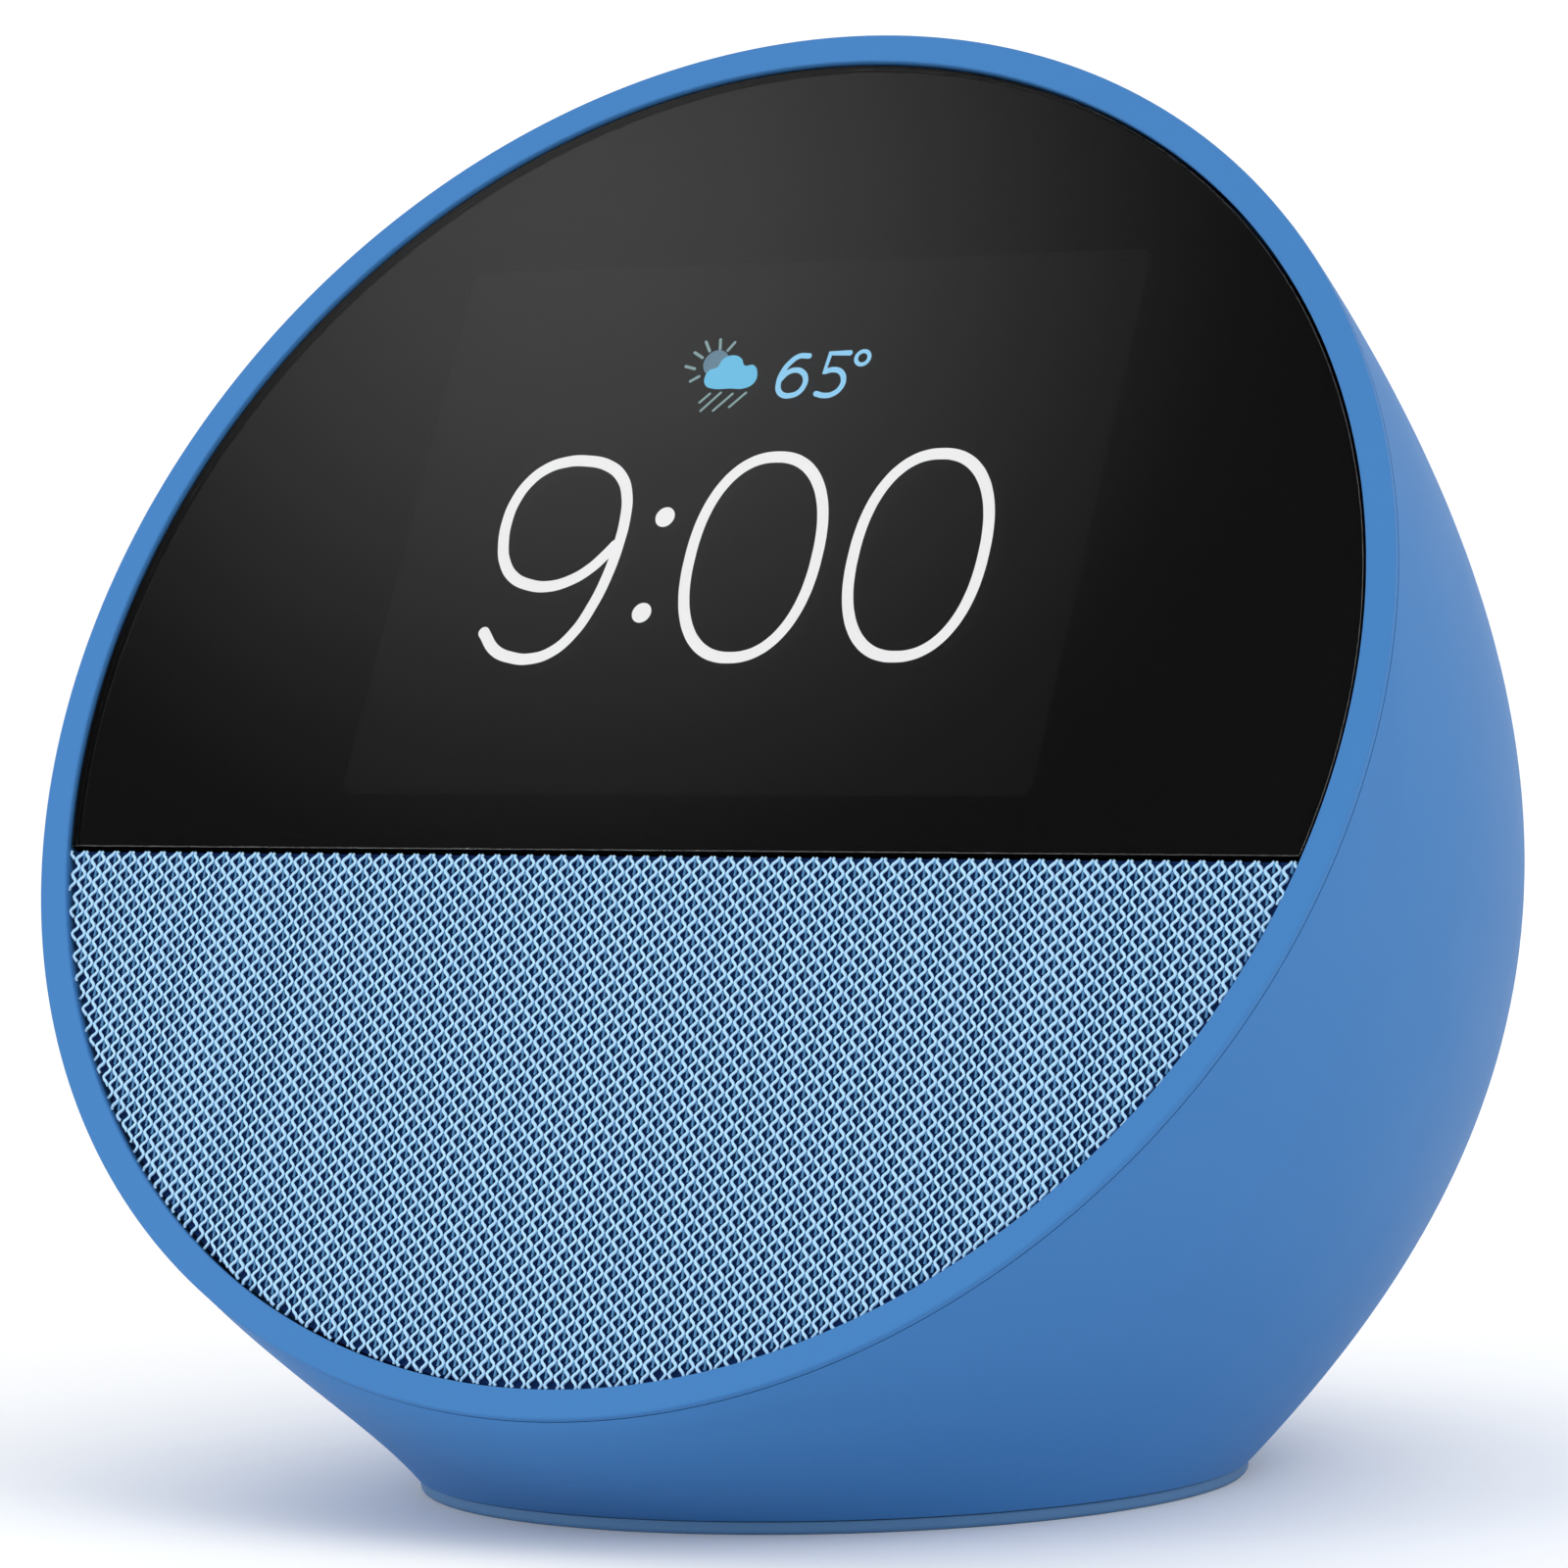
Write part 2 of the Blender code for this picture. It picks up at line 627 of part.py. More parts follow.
def make_board():
    """The main board on its posts, with its shield and heat sink."""
    outline = rectangle((-BOARD_HALF_WIDTH, BOARD_LOW), (BOARD_HALF_WIDTH, BOARD_HIGH))
    holes = [circle(1.3 * MM, place) for place in BOARD_POSTS]
    flat("main_board", [outline, *holes], -BOARD_BACK, -BOARD_FRONT, FACE, CIRCUIT_BOARD)
    for i, place in enumerate(BOARD_POSTS):
        seat = BOARD_BACK + GAP
        screw(f"board_screw_{i + 1}", -seat - 1.2 * MM, -seat, -9.0 * MM, FACE, place)

    middle = Vector((0.0, 18.0)) * MM
    can_half = Vector((12.5, 12.5)) * MM
    can_front = BOARD_BACK + GAP
    can_back = can_front + 2.2 * MM
    outline = rectangle(middle - can_half, middle + can_half)
    open_tray("soc_shield", outline, -can_back, -can_front, 0.3 * MM, FACE, SHEET_STEEL)
    chip_half = Vector((7.0, 7.0)) * MM
    chip_low = (*(middle - chip_half), -can_front - 1.2 * MM)
    chip_high = (*(middle + chip_half), -can_front)
    box("soc_chip", chip_low, chip_high, FACE, BLACK_PLASTIC)
    pad_half = Vector((9.0, 9.0)) * MM
    pad_front = can_back + GAP
    pad_back = pad_front + 0.8 * MM
    pad_low = (*(middle - pad_half), -pad_back)
    pad_high = (*(middle + pad_half), -pad_front)
    box("thermal_pad", pad_low, pad_high, FACE, BLACK_RUBBER)
    make_heat_sink(middle, pad_back + GAP)
    make_antenna()


def make_heat_sink(middle, front):
    """A comb of upright fins on a plate, extruded up the face."""
    half_width = 22.0 * MM
    plate = 1.8 * MM
    fin = 1.2 * MM
    height = 7.0 * MM
    count = 8
    pitch = (2 * half_width - fin) / (count - 1)
    outline = [(half_width, 0.0), (-half_width, 0.0)]
    for i in range(count):
        left = -half_width + i * pitch
        outline += [(left, -height), (left + fin, -height)]
        if i < count - 1:
            outline += [(left + fin, -plate), (left + pitch, -plate)]
    outline.reverse()
    length = 30.0 * MM
    sink = flat("heat_sink", [outline], -length / 2, length / 2, FACE, ALUMINIUM)
    sink.matrix_local = Matrix.Translation((middle.x, middle.y, -front)) @ Matrix.Rotation(
        math.radians(90.0), 4, "X"
    )


def make_antenna():
    """A wireless antenna plate stuck to the chassis's back."""
    front = CHASSIS_BACK + GAP
    low = (38.5 * MM, -8.0 * MM, -front - 0.5 * MM)
    high = (44.5 * MM, 16.0 * MM, -front)
    box("wireless_antenna", low, high, FACE, POLYIMIDE)


def make_leads():
    """The flex cables and leads that join the boards, all inside the body."""
    screen_tail = [(-2.5, -5.2), (-4.5, -5.2), (-5.9, -6.2), (-6.0, -9.0)]
    screen_tail += [(-6.0, -14.0), (-5.7, -15.9), (-3.9, -16.0)]
    screen_tail = [Vector(point) * MM for point in screen_tail]
    ribbon("display_flex", screen_tail, 10.0 * MM, 0.15 * MM, FACE, POLYIMIDE)

    power = [(-4.0, 27.9, 14.6), (-4.4, 27.5, 18.0), (-11.0, 26.0, 25.0), (-20.0, 21.0, 34.0)]
    power = [Vector(point) * MM for point in power]
    arrival = [(-24.0, 4.0, -28.0), (-24.0, 5.8, -20.5), (-24.0, 6.0, -15.8)]
    power += [FACE.matrix_local @ (Vector(point) * MM) for point in arrival]
    tube("power_lead", power, 1.2 * MM, WORLD, BLACK_RUBBER)
    speaker = [(16.5, -22.0, -13.0), (21.5, -17.0, -15.0), (25.0, -9.0, -18.0)]
    speaker += [(25.5, 2.0, -19.5), (25.0, 7.0, -17.0)]
    speaker = [Vector(point) * MM for point in speaker]
    tube("speaker_lead", speaker, 0.9 * MM, FACE, BLACK_RUBBER)


# ---------------------------------------------------------------- buttons


def button_places():
    return [Vector(((i - 1) * BUTTON_PITCH, 0.0)) for i in range(len(BUTTON_NAMES))]


def make_body_core():
    """The body's outer shape as one closed solid, used to dome the button caps."""
    return add_bmesh("body_core", body_skin(closed=True), WORLD, None, CUTTERS)


def make_buttons():
    """Three caps that press tactile switches on a small board under the top of the body."""
    core = make_body_core()
    flange_top = -5.7 * MM
    flange_bottom = -6.4 * MM
    stem_end = -6.8 * MM
    plunger_top = stem_end - GAP
    switch_top = -7.9 * MM
    switch_bottom = KEYBOARD_TOP + GAP
    switch_half = 2.3 * MM
    for name, place in zip(BUTTON_NAMES, button_places()):
        profile = [
            (0.0, 3.0 * MM),
            (BUTTON_RADIUS, 3.0 * MM),
            (BUTTON_RADIUS, flange_top),
            (BUTTON_RADIUS + 0.9 * MM, flange_top),
            (BUTTON_RADIUS + 0.9 * MM, flange_bottom),
            (1.2 * MM, flange_bottom),
            (1.2 * MM, stem_end),
            (0.0, stem_end),
        ]
        cap = turned(f"{name}_button", profile, KEYS, BLUE_PLASTIC, at=place, sides=24)
        boolean(cap, "INTERSECT", core)
        plunger = f"{name}_plunger"
        cylinder(plunger, 1.1 * MM, -9.0 * MM, plunger_top, KEYS, WHITE_PLASTIC, at=place, sides=8)
        low = (-switch_half, -switch_half, switch_bottom)
        high = (switch_half, switch_half, switch_top)
        switch = box(f"{name}_switch", low, high, KEYS, BLACK_PLASTIC)
        switch.location = place.to_3d()
        low = switch_bottom - 1.0 * MM
        high = switch_top + 1.0 * MM
        well = cylinder(f"{name}_well", 1.4 * MM, low, high, KEYS, None, CUTTERS, place, 8)
        boolean(switch, "DIFFERENCE", well)

    half_length = 22.5 * MM
    half_width = 5.5 * MM
    holes = [circle(1.0 * MM, (x, 0.0), 8) for x in KEYBOARD_PINS]
    outline = rectangle((-half_length, -half_width), (half_length, half_width))
    bottom = KEYBOARD_TOP - 1.0 * MM
    flat("button_board", [outline, *holes], bottom, KEYBOARD_TOP, KEYS, CIRCUIT_BOARD)
    for i, x in enumerate((-BUTTON_PITCH / 2, BUTTON_PITCH / 2)):
        half = Vector((1.5, 1.1)) * MM
        low = (x - half.x, 3.2 * MM - half.y, KEYBOARD_TOP + GAP)
        high = (x + half.x, 3.2 * MM + half.y, KEYBOARD_TOP + GAP + 1.0 * MM)
        box(f"microphone_{i + 1}", low, high, KEYS, ZINC_STEEL)


# ---------------------------------------------------------------- body


def body_skin(closed):
    """The lofted skin, as a bmesh with its faces outward; closed adds the face and the foot."""
    bm = bmesh.new()
    rows = []
    for j in range(ALONG + 1):
        angles = [2 * math.pi * i / AROUND for i in range(AROUND)]
        rows.append([bm.verts.new(body_point(j / ALONG, angle)) for angle in angles])
    for upper, lower in zip(rows, rows[1:]):
        for i in range(AROUND):
            k = (i + 1) % AROUND
            bm.faces.new((upper[i], upper[k], lower[k], lower[i]))
    if closed:
        bm.faces.new(rows[0][::-1])
        bm.faces.new(rows[-1])
    return bm


def make_housing():
    """The rear shell: the skin with a wall, its bosses, and the holes through it."""
    housing = add_bmesh("rear_housing", body_skin(closed=False), WORLD, BLUE_PLASTIC)
    for polygon in housing.data.polygons:
        polygon.use_smooth = True
    wall = housing.modifiers.new("wall", "SOLIDIFY")
    wall.thickness = WALL
    wall.offset = -1.0
    boolean(housing, "UNION", housing_bosses())
    boolean(housing, "DIFFERENCE", housing_cuts())


def spoke(name, start, end, half_width, low, high, parent, collection):
    """An upright rib from one point to another, between two heights."""
    start, end = Vector(start), Vector(end)
    along = end - start
    rib = box(name, (0.0, -half_width, low), (along.length, half_width, high), parent, None, collection)
    rib.location = start.to_3d()
    rib.rotation_euler.z = math.atan2(along.y, along.x)
    return rib


def base_screw_places():
    turns = [math.radians(angle) for angle in BASE_SCREW_ANGLES]
    return [Vector((math.cos(turn), math.sin(turn))) * BASE_SCREW_CIRCLE for turn in turns]


def housing_bosses():
    bosses = tools("housing_bosses")
    root = 17.0 * MM
    step = 0.5 * MM
    for i, place in enumerate(CHASSIS_SCREWS):
        name = f"chassis_boss_{i + 1}"
        near = CHASSIS_BACK + GAP
        boss(name, 2.6 * MM, 1.3 * MM, -near, -root, -16.0 * MM, FACE, bosses, place)
        outward = place.normalized()
        reach = 54.1 * MM
        rib = f"chassis_rib_{i + 1}"
        start = place + outward * 1.8 * MM
        low = -root + step
        high = -near - step
        spoke(rib, start, outward * reach, 0.9 * MM, low, high, FACE, bosses)
    for i, place in enumerate(base_screw_places()):
        name = f"base_boss_{i + 1}"
        low = BASE_TOP + GAP
        high = 10.5 * MM
        boss(name, 3.0 * MM, 1.2 * MM, low, high, 10.0 * MM, WORLD, bosses, place)
        outward = place.normalized()
        start = place + outward * 2.0 * MM
        end = outward * 33.8 * MM
        spoke(f"base_rib_{i + 1}", start, end, 1.0 * MM, low, 6.3 * MM, WORLD, bosses)
    for i, x in enumerate(KEYBOARD_PINS):
        pin = [
            (0.0, -5.2 * MM),
            (1.8 * MM, -5.2 * MM),
            (1.8 * MM, KEYBOARD_TOP + GAP),
            (0.7 * MM, KEYBOARD_TOP + GAP),
            (0.7 * MM, KEYBOARD_TOP - 1.8 * MM),
            (0.0, KEYBOARD_TOP - 1.8 * MM),
        ]
        turned(f"keyboard_pin_{i + 1}", pin, KEYS, None, bosses, (x, 0.0), 12)
    make_inlet_cup(bosses)
    return bosses


def make_inlet_cup(bosses):
    """The cup round the power inlet, whose open end slants with the skin, just inside it."""
    outer = INLET_RADIUS + 1.5 * MM
    bottom = -INLET_DEPTH - INLET_FLOOR
    cup = cylinder("inlet_cup", outer, bottom, 0.0, INLET, None, bosses, sides=24)
    for vertex in cup.data.vertices:
        if vertex.co.z > bottom / 2:
            vertex.co.z = -1.3 * MM - INLET_SLOPE * vertex.co.y


def housing_cuts():
    cuts = tools("housing_cuts")
    cylinder("rim_rebate", 55.3 * MM, -BEZEL_DEPTH - GAP, 1.0 * MM, FACE, None, cuts, sides=64)
    clearance = BUTTON_RADIUS + GAP
    for name, place in zip(BUTTON_NAMES, button_places()):
        cylinder(f"{name}_hole", clearance, -5.4 * MM, 3.0 * MM, KEYS, None, cuts, place, 24)
    for i, x in enumerate((-BUTTON_PITCH / 2, BUTTON_PITCH / 2)):
        place = (x, 3.2 * MM)
        cylinder(f"microphone_hole_{i + 1}", 0.5 * MM, -4.5 * MM, 2.0 * MM, KEYS, None, cuts, place, 8)
    cylinder("inlet_bore", INLET_RADIUS, -INLET_DEPTH, 12.0 * MM, INLET, None, cuts, sides=24)
    cylinder("inlet_nose_hole", 4.1 * MM, -12.0 * MM, 0.0, INLET, None, cuts, sides=24)
    return cuts


# ---------------------------------------------------------------- power inlet


def make_inlet():
    """A barrel socket behind the cup, on its own small board."""
    rear = -INLET_DEPTH - INLET_FLOOR - GAP
    half_width = 4.6 * MM
    low = (-half_width, -half_width, rear - 12.0 * MM)
    high = (half_width, half_width, rear)
    body = box("power_socket", low, high, INLET, BLACK_PLASTIC)
    nose = cylinder("socket_nose", 3.8 * MM, rear - 1.0 * MM, -INLET_DEPTH, INLET, None, CUTTERS, sides=24)
    boolean(body, "UNION", nose)
    bore = cylinder("socket_bore", 2.9 * MM, rear - 9.5 * MM, 1.0 * MM, INLET, None, CUTTERS, sides=20)
    boolean(body, "DIFFERENCE", bore)
    pin_base = rear - 9.5 * MM + GAP
    tip = -INLET_DEPTH - 1.0 * MM
    pin = [(0.0, tip), (0.7 * MM, tip), (1.0 * MM, tip - 0.4 * MM)]
    pin += [(1.0 * MM, pin_base), (0.0, pin_base)]
    turned("socket_pin", pin, INLET, ZINC_STEEL, sides=12)
    top = half_width + GAP
    board_low = (-6.0 * MM, top, rear - 15.0 * MM)
    board_high = (6.0 * MM, top + 1.2 * MM, rear - 2.0 * MM)
    box("power_board", board_low, board_high, INLET, CIRCUIT_BOARD)


# ---------------------------------------------------------------- base


def make_base():
    """Foot pad, base plate with sunk screws, and the ballast that keeps the body steady."""
    foot = [
        (0.0, FOOT_TOP),
        (FOOT_RADIUS, FOOT_TOP),
        (FOOT_RADIUS, 0.35 * MM),
        (FOOT_RADIUS - 0.35 * MM, 0.0),
        (0.0, 0.0),
    ]
    turned("foot_pad", foot, WORLD, BLUE_RUBBER, sides=AROUND)

    plate = cylinder("base_plate", BASE_RADIUS, BASE_BOTTOM, BASE_TOP, WORLD, BLACK_PLASTIC, sides=40)
    sinks = tools("base_sinks")
    for i, place in enumerate(base_screw_places()):
        sink = [
            (0.0, BASE_TOP + 1.0 * MM),
            (1.4 * MM, BASE_TOP + 1.0 * MM),
            (1.4 * MM, BASE_BOTTOM + 1.7 * MM),
            (2.4 * MM, BASE_BOTTOM + 1.7 * MM),
            (2.4 * MM, BASE_BOTTOM - 1.0 * MM),
            (0.0, BASE_BOTTOM - 1.0 * MM),
        ]
        turned(f"base_sink_{i + 1}", sink, WORLD, None, sinks, place, 12)
        seat = BASE_BOTTOM + 1.7 * MM - GAP
        screw(f"base_screw_{i + 1}", BASE_BOTTOM + 0.2 * MM, seat, 9.0 * MM, WORLD, place)
    boolean(plate, "DIFFERENCE", sinks)
    ballast_low = BASE_TOP + GAP
    cylinder("ballast", 20.5 * MM, ballast_low, ballast_low + 4.0 * MM, WORLD, SHEET_STEEL, sides=32)


make_bezel()
make_display()
make_grille()
make_chassis()
make_speaker()
make_board()
make_leads()
make_buttons()
make_housing()
make_inlet()
make_base()
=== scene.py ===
# %% [markdown]
# # A round-faced smart display
#
# The object is a small bedside screen: a circular front, tilted back, half glass and half
# cloth, on a smooth moulded body that sweeps down to a little round foot. This notebook
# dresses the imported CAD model, which is loaded as a fixed frame. The outside pieces are
# modelled again here, finer than in the CAD, and every inside piece keeps its CAD shape
# and gets a real finish.

import json
import math

import bpy
from mathutils import Matrix, Vector

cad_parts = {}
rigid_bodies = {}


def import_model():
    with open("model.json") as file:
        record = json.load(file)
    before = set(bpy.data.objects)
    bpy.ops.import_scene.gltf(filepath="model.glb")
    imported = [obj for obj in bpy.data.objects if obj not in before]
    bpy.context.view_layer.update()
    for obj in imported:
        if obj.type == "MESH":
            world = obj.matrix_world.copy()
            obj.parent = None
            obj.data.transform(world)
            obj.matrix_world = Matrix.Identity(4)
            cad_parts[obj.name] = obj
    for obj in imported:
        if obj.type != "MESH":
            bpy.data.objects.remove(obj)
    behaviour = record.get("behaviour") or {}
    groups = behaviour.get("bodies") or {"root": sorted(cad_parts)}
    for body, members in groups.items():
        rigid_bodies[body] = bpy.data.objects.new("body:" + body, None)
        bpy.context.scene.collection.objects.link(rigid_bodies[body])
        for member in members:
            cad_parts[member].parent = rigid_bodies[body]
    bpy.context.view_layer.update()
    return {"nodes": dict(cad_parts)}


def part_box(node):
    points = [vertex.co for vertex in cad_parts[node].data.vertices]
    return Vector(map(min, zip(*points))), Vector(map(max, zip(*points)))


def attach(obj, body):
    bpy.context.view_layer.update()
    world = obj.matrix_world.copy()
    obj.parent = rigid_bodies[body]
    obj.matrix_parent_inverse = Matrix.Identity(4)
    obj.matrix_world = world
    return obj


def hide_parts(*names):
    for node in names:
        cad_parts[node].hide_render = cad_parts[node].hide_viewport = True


for leftover in list(bpy.data.objects):  # Blender's own starting cube, lamp and camera
    bpy.data.objects.remove(leftover)
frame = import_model()
MM = 0.001

# %% [markdown]
# ## Where things are
#
# The front lies in its own plane, so its pieces are drawn flat and laid onto the face with
# one matrix: X to the right, Y up the face, Z out of it. The buttons and the power inlet
# have such a matrix too. The numbers are the ones that the CAD part was built with.

# %% Frames and shared sizes
FACE_TILT = math.radians(28.0)
FACE_CENTRE = Vector((0.0, -18.15, 59.8)) * MM
FACE_RADIUS = 56.5
FACE_OPENING = 54.2
GLASS_EDGE_Y = -11.88
CLOTH_EDGE_Y = -12.18
INSERT_RADIUS = 53.9
FRONT_RECESS = 0.3

FACE = Matrix.Translation(FACE_CENTRE) @ Matrix.Rotation(math.radians(90.0) - FACE_TILT, 4, "X")
INLET_FACE = 50.4
INLET_HEIGHT = 19.0
INLET = Matrix.Translation(Vector((0.0, INLET_FACE, INLET_HEIGHT)) * MM) @ Matrix.Rotation(
    math.radians(-90.0), 4, "X"
)
print("face normal:", [round(x, 3) for x in FACE.to_3x3() @ Vector((0, 0, 1))])

# %% [markdown]
# ## Camera
#
# A long lens about 60 cm away looks at the object from 30 degrees to the right and almost
# level with it. The small shift puts the object where it sits in the frame.

# %% Camera
CAMERA_TARGET = Vector((0.0, -3.15, 55.0)) * MM
CAMERA_DISTANCE = 603.47 * MM
CAMERA_AZIMUTH = math.radians(30.35)
CAMERA_ELEVATION = math.radians(2.60)
CAMERA_ROLL = math.radians(-1.45)
SENSOR_WIDTH = 36.0
LENS_LENGTH = 183.39
SHIFT_ACROSS = -0.00737
SHIFT_UP = -0.01728

bpy.ops.object.camera_add()
camera = bpy.context.object
camera.name = "studio_camera"
away = Vector(
    (
        math.sin(CAMERA_AZIMUTH) * math.cos(CAMERA_ELEVATION),
        -math.cos(CAMERA_AZIMUTH) * math.cos(CAMERA_ELEVATION),
        math.sin(CAMERA_ELEVATION),
    )
)
level = Vector((math.cos(CAMERA_AZIMUTH), math.sin(CAMERA_AZIMUTH), 0.0))
upright = away.cross(level)
right = level * math.cos(CAMERA_ROLL) + upright * math.sin(CAMERA_ROLL)
up = upright * math.cos(CAMERA_ROLL) - level * math.sin(CAMERA_ROLL)
turn = Matrix((right, up, away)).transposed().to_4x4()
camera.matrix_world = Matrix.Translation(CAMERA_TARGET + away * CAMERA_DISTANCE) @ turn
camera.data.sensor_width = SENSOR_WIDTH
camera.data.lens = LENS_LENGTH
camera.data.shift_x = SHIFT_ACROSS
camera.data.shift_y = SHIFT_UP
camera.data.clip_start = 0.05
camera.data.clip_end = 50.0
bpy.context.scene.camera = camera
print("camera at", [round(x, 3) for x in camera.location])

# %% [markdown]
# ## Colours and nodes
#
# Colours are written as the hex values that a picture shows, and turned to linear light
# once, here. One helper adds a node with its settings and links, and another opens a
# material and hands back object coordinates in millimetres, so that every pattern can be
# given its real size. The others give noise, colour, gloss and relief.


# %% Material helpers
def linear(code):
    """An sRGB hex colour as linear red, green, blue and alpha."""
    parts = [int(code[i : i + 2], 16) / 255 for i in (1, 3, 5)]
    return (*[c / 12.92 if c <= 0.04045 else ((c + 0.055) / 1.055) ** 2.4 for c in parts], 1.0)


def add(tree, kind, inputs=None, **settings):
    """Adds a node; an input is a number, a colour or another node's output."""
    node = tree.nodes.new(kind)
    for name, value in settings.items():
        setattr(node, name, value)
    for name, value in (inputs or {}).items():
        if isinstance(value, bpy.types.NodeSocket):
            tree.links.new(value, node.inputs[name])
        else:
            node.inputs[name].default_value = value
    return node


def open_material(name, **sockets):
    """A new material: the material, its tree, its shader, and object coordinates in mm."""
    material = bpy.data.materials.new(name)
    material.use_nodes = True
    tree = material.node_tree
    shader = tree.nodes["Principled BSDF"]
    for socket, value in sockets.items():
        shader.inputs[socket.replace("_", " ")].default_value = value
    place = add(tree, "ShaderNodeTexCoord").outputs["Object"]
    scaled = add(
        tree, "ShaderNodeVectorMath", {"Vector": place, "Scale": 1 / MM}, operation="SCALE"
    )
    return material, tree, shader, scaled.outputs["Vector"]


def noise(tree, place, scale, detail):
    """Soft random variation, with its scale in waves per mm."""
    inputs = {"Vector": place, "Scale": scale, "Detail": detail}
    return add(tree, "ShaderNodeTexNoise", inputs).outputs["Fac"]


def two_tone(tree, shader, factor, low, high):
    """Base colour that runs from one hex colour to another."""
    mix = add(
        tree, "ShaderNodeMix", {0: factor, 6: linear(low), 7: linear(high)}, data_type="RGBA"
    )
    tree.links.new(mix.outputs[2], shader.inputs["Base Color"])


def vary(tree, socket, factor, low, high):
    """A shader number that runs between two values."""
    spread = add(tree, "ShaderNodeMapRange", {"Value": factor, "To Min": low, "To Max": high})
    tree.links.new(spread.outputs["Result"], socket)


def relief(tree, shader, height, depth_mm):
    """Surface relief of a real depth."""
    bump = add(
        tree, "ShaderNodeBump", {"Strength": 1.0, "Distance": depth_mm * MM, "Height": height}
    )
    tree.links.new(bump.outputs["Normal"], shader.inputs["Normal"])


# %% [markdown]
# ## Moulded plastic and rubber
#
# The body, ring and caps are ABS moulded in spark-eroded steel: a fine matt grain of about
# 0.15 mm, a soft wide highlight and, over centimetres, a faint drift in colour and gloss
# where the melt flowed. The black inner frames, the nylon plungers and the rubber foot are
# made the same way, so one function gives them all, each with its own grain.


# %% Moulded finishes
def moulded(name, low, high, roughness, grain_mm, depth_mm, ior=1.53, drift_mm=28.0, **sockets):
    """A fine moulded grain over a slow drift in colour and gloss."""
    material, tree, shader, place = open_material(name, IOR=ior, **sockets)
    two_tone(tree, shader, noise(tree, place, 1 / drift_mm, 3.0), low, high)
    grain = noise(tree, place, 1 / grain_mm, 2.0)
    gloss = noise(tree, place, 3 / drift_mm, 4.0)
    vary(tree, shader.inputs["Roughness"], gloss, roughness - 0.05, roughness + 0.05)
    relief(tree, shader, grain, depth_mm)
    return material


BLUE_ABS = moulded(
    "moulded_blue_abs", "#3B73AD", "#3E76B1", 0.53, 0.16, 0.010, Specular_IOR_Level=0.10
)
BLACK_ABS = moulded("moulded_black_abs", "#121214", "#1A1A1C", 0.50, 0.20, 0.012)
NYLON = moulded("moulded_white_nylon", "#D9D7CE", "#E4E2DA", 0.42, 0.25, 0.008)
BLUE_TPE = moulded("moulded_blue_rubber", "#446E98", "#4874A0", 0.68, 0.30, 0.020, ior=1.48)
BLACK_RUBBER = moulded("moulded_black_rubber", "#141414", "#1C1C1C", 0.72, 0.35, 0.020, ior=1.48)
FERRITE = moulded("sintered_ferrite", "#2B2B2D", "#3A3A3C", 0.60, 0.40, 0.030, ior=2.2, drift_mm=5)
MOULDED = (BLUE_ABS, BLACK_ABS, NYLON, BLUE_TPE, BLACK_RUBBER, FERRITE)
print("moulded finishes:", [finish.name for finish in MOULDED])

# %% [markdown]
# ## Metals
#
# Sheet steel, zinc-plated screws, aluminium and copper keep the default IOR and get their
# look from fine streaks left by rolling or turning: noise stretched 12 times along one
# axis drives both the roughness and a relief of a few micrometres.

# %% Metal finishes
STRETCH = 12.0
STREAK_RELIEF = 0.004
ALONG_X = (1.0, STRETCH, STRETCH)
ALONG_Z = (STRETCH, STRETCH, 1.0)


def rolled(name, low, high, roughness, streak_mm, along=ALONG_X):
    """Bare metal with long fine streaks."""
    material, tree, shader, place = open_material(name, Metallic=1.0)
    stretch = add(tree, "ShaderNodeMapping", {"Vector": place, "Scale": along})
    streaks = noise(tree, stretch.outputs["Vector"], 1 / (STRETCH * streak_mm), 3.0)
    two_tone(tree, shader, noise(tree, place, 0.2, 2.0), low, high)
    vary(tree, shader.inputs["Roughness"], streaks, roughness - 0.1, roughness + 0.1)
    relief(tree, shader, streaks, STREAK_RELIEF)
    return material


STEEL = rolled("rolled_sheet_steel", "#B4B6B8", "#C6C8CA", 0.34, 0.12)
ZINC = rolled("zinc_plated_steel", "#BDBBB0", "#CFCDC4", 0.38, 0.10, ALONG_Z)
ALUMINIUM = rolled("extruded_aluminium", "#C4C6C8", "#D8DADB", 0.36, 0.15)
COPPER = rolled("enamelled_copper_wire", "#B5652F", "#C9783C", 0.32, 0.10)
print("metal finishes:", [finish.name for finish in (STEEL, ZINC, ALUMINIUM, COPPER)])

# %% [markdown]
# ## Boards, films and papers
#
# Circuit boards are glass-epoxy under a green solder mask, with copper tracks about 1 mm
# apart showing as lighter lines. The flat cable is amber polyimide with its conductors at
# 0.5 mm. The loudspeaker's cone is black felted paper, and its spider is a
# stiffened yellow cotton weave.


# %% Board, film and paper finishes
def striped(name, low, high, pitch_mm, roughness, ior=1.5, distortion=0.0, depth_mm=0.02):
    """A ground with lines at a real pitch, bent about where they are distorted."""
    material, tree, shader, place = open_material(name, IOR=ior)
    lines = add(
        tree,
        "ShaderNodeTexWave",
        {"Vector": place, "Scale": 2 * math.pi / (20 * pitch_mm), "Distortion": distortion},
        bands_direction="X",
    )
    two_tone(tree, shader, lines.outputs["Fac"], low, high)
    haze = noise(tree, place, 0.3, 3.0)
    vary(tree, shader.inputs["Roughness"], haze, roughness - 0.06, roughness + 0.06)
    relief(tree, shader, lines.outputs["Fac"], depth_mm)
    return material


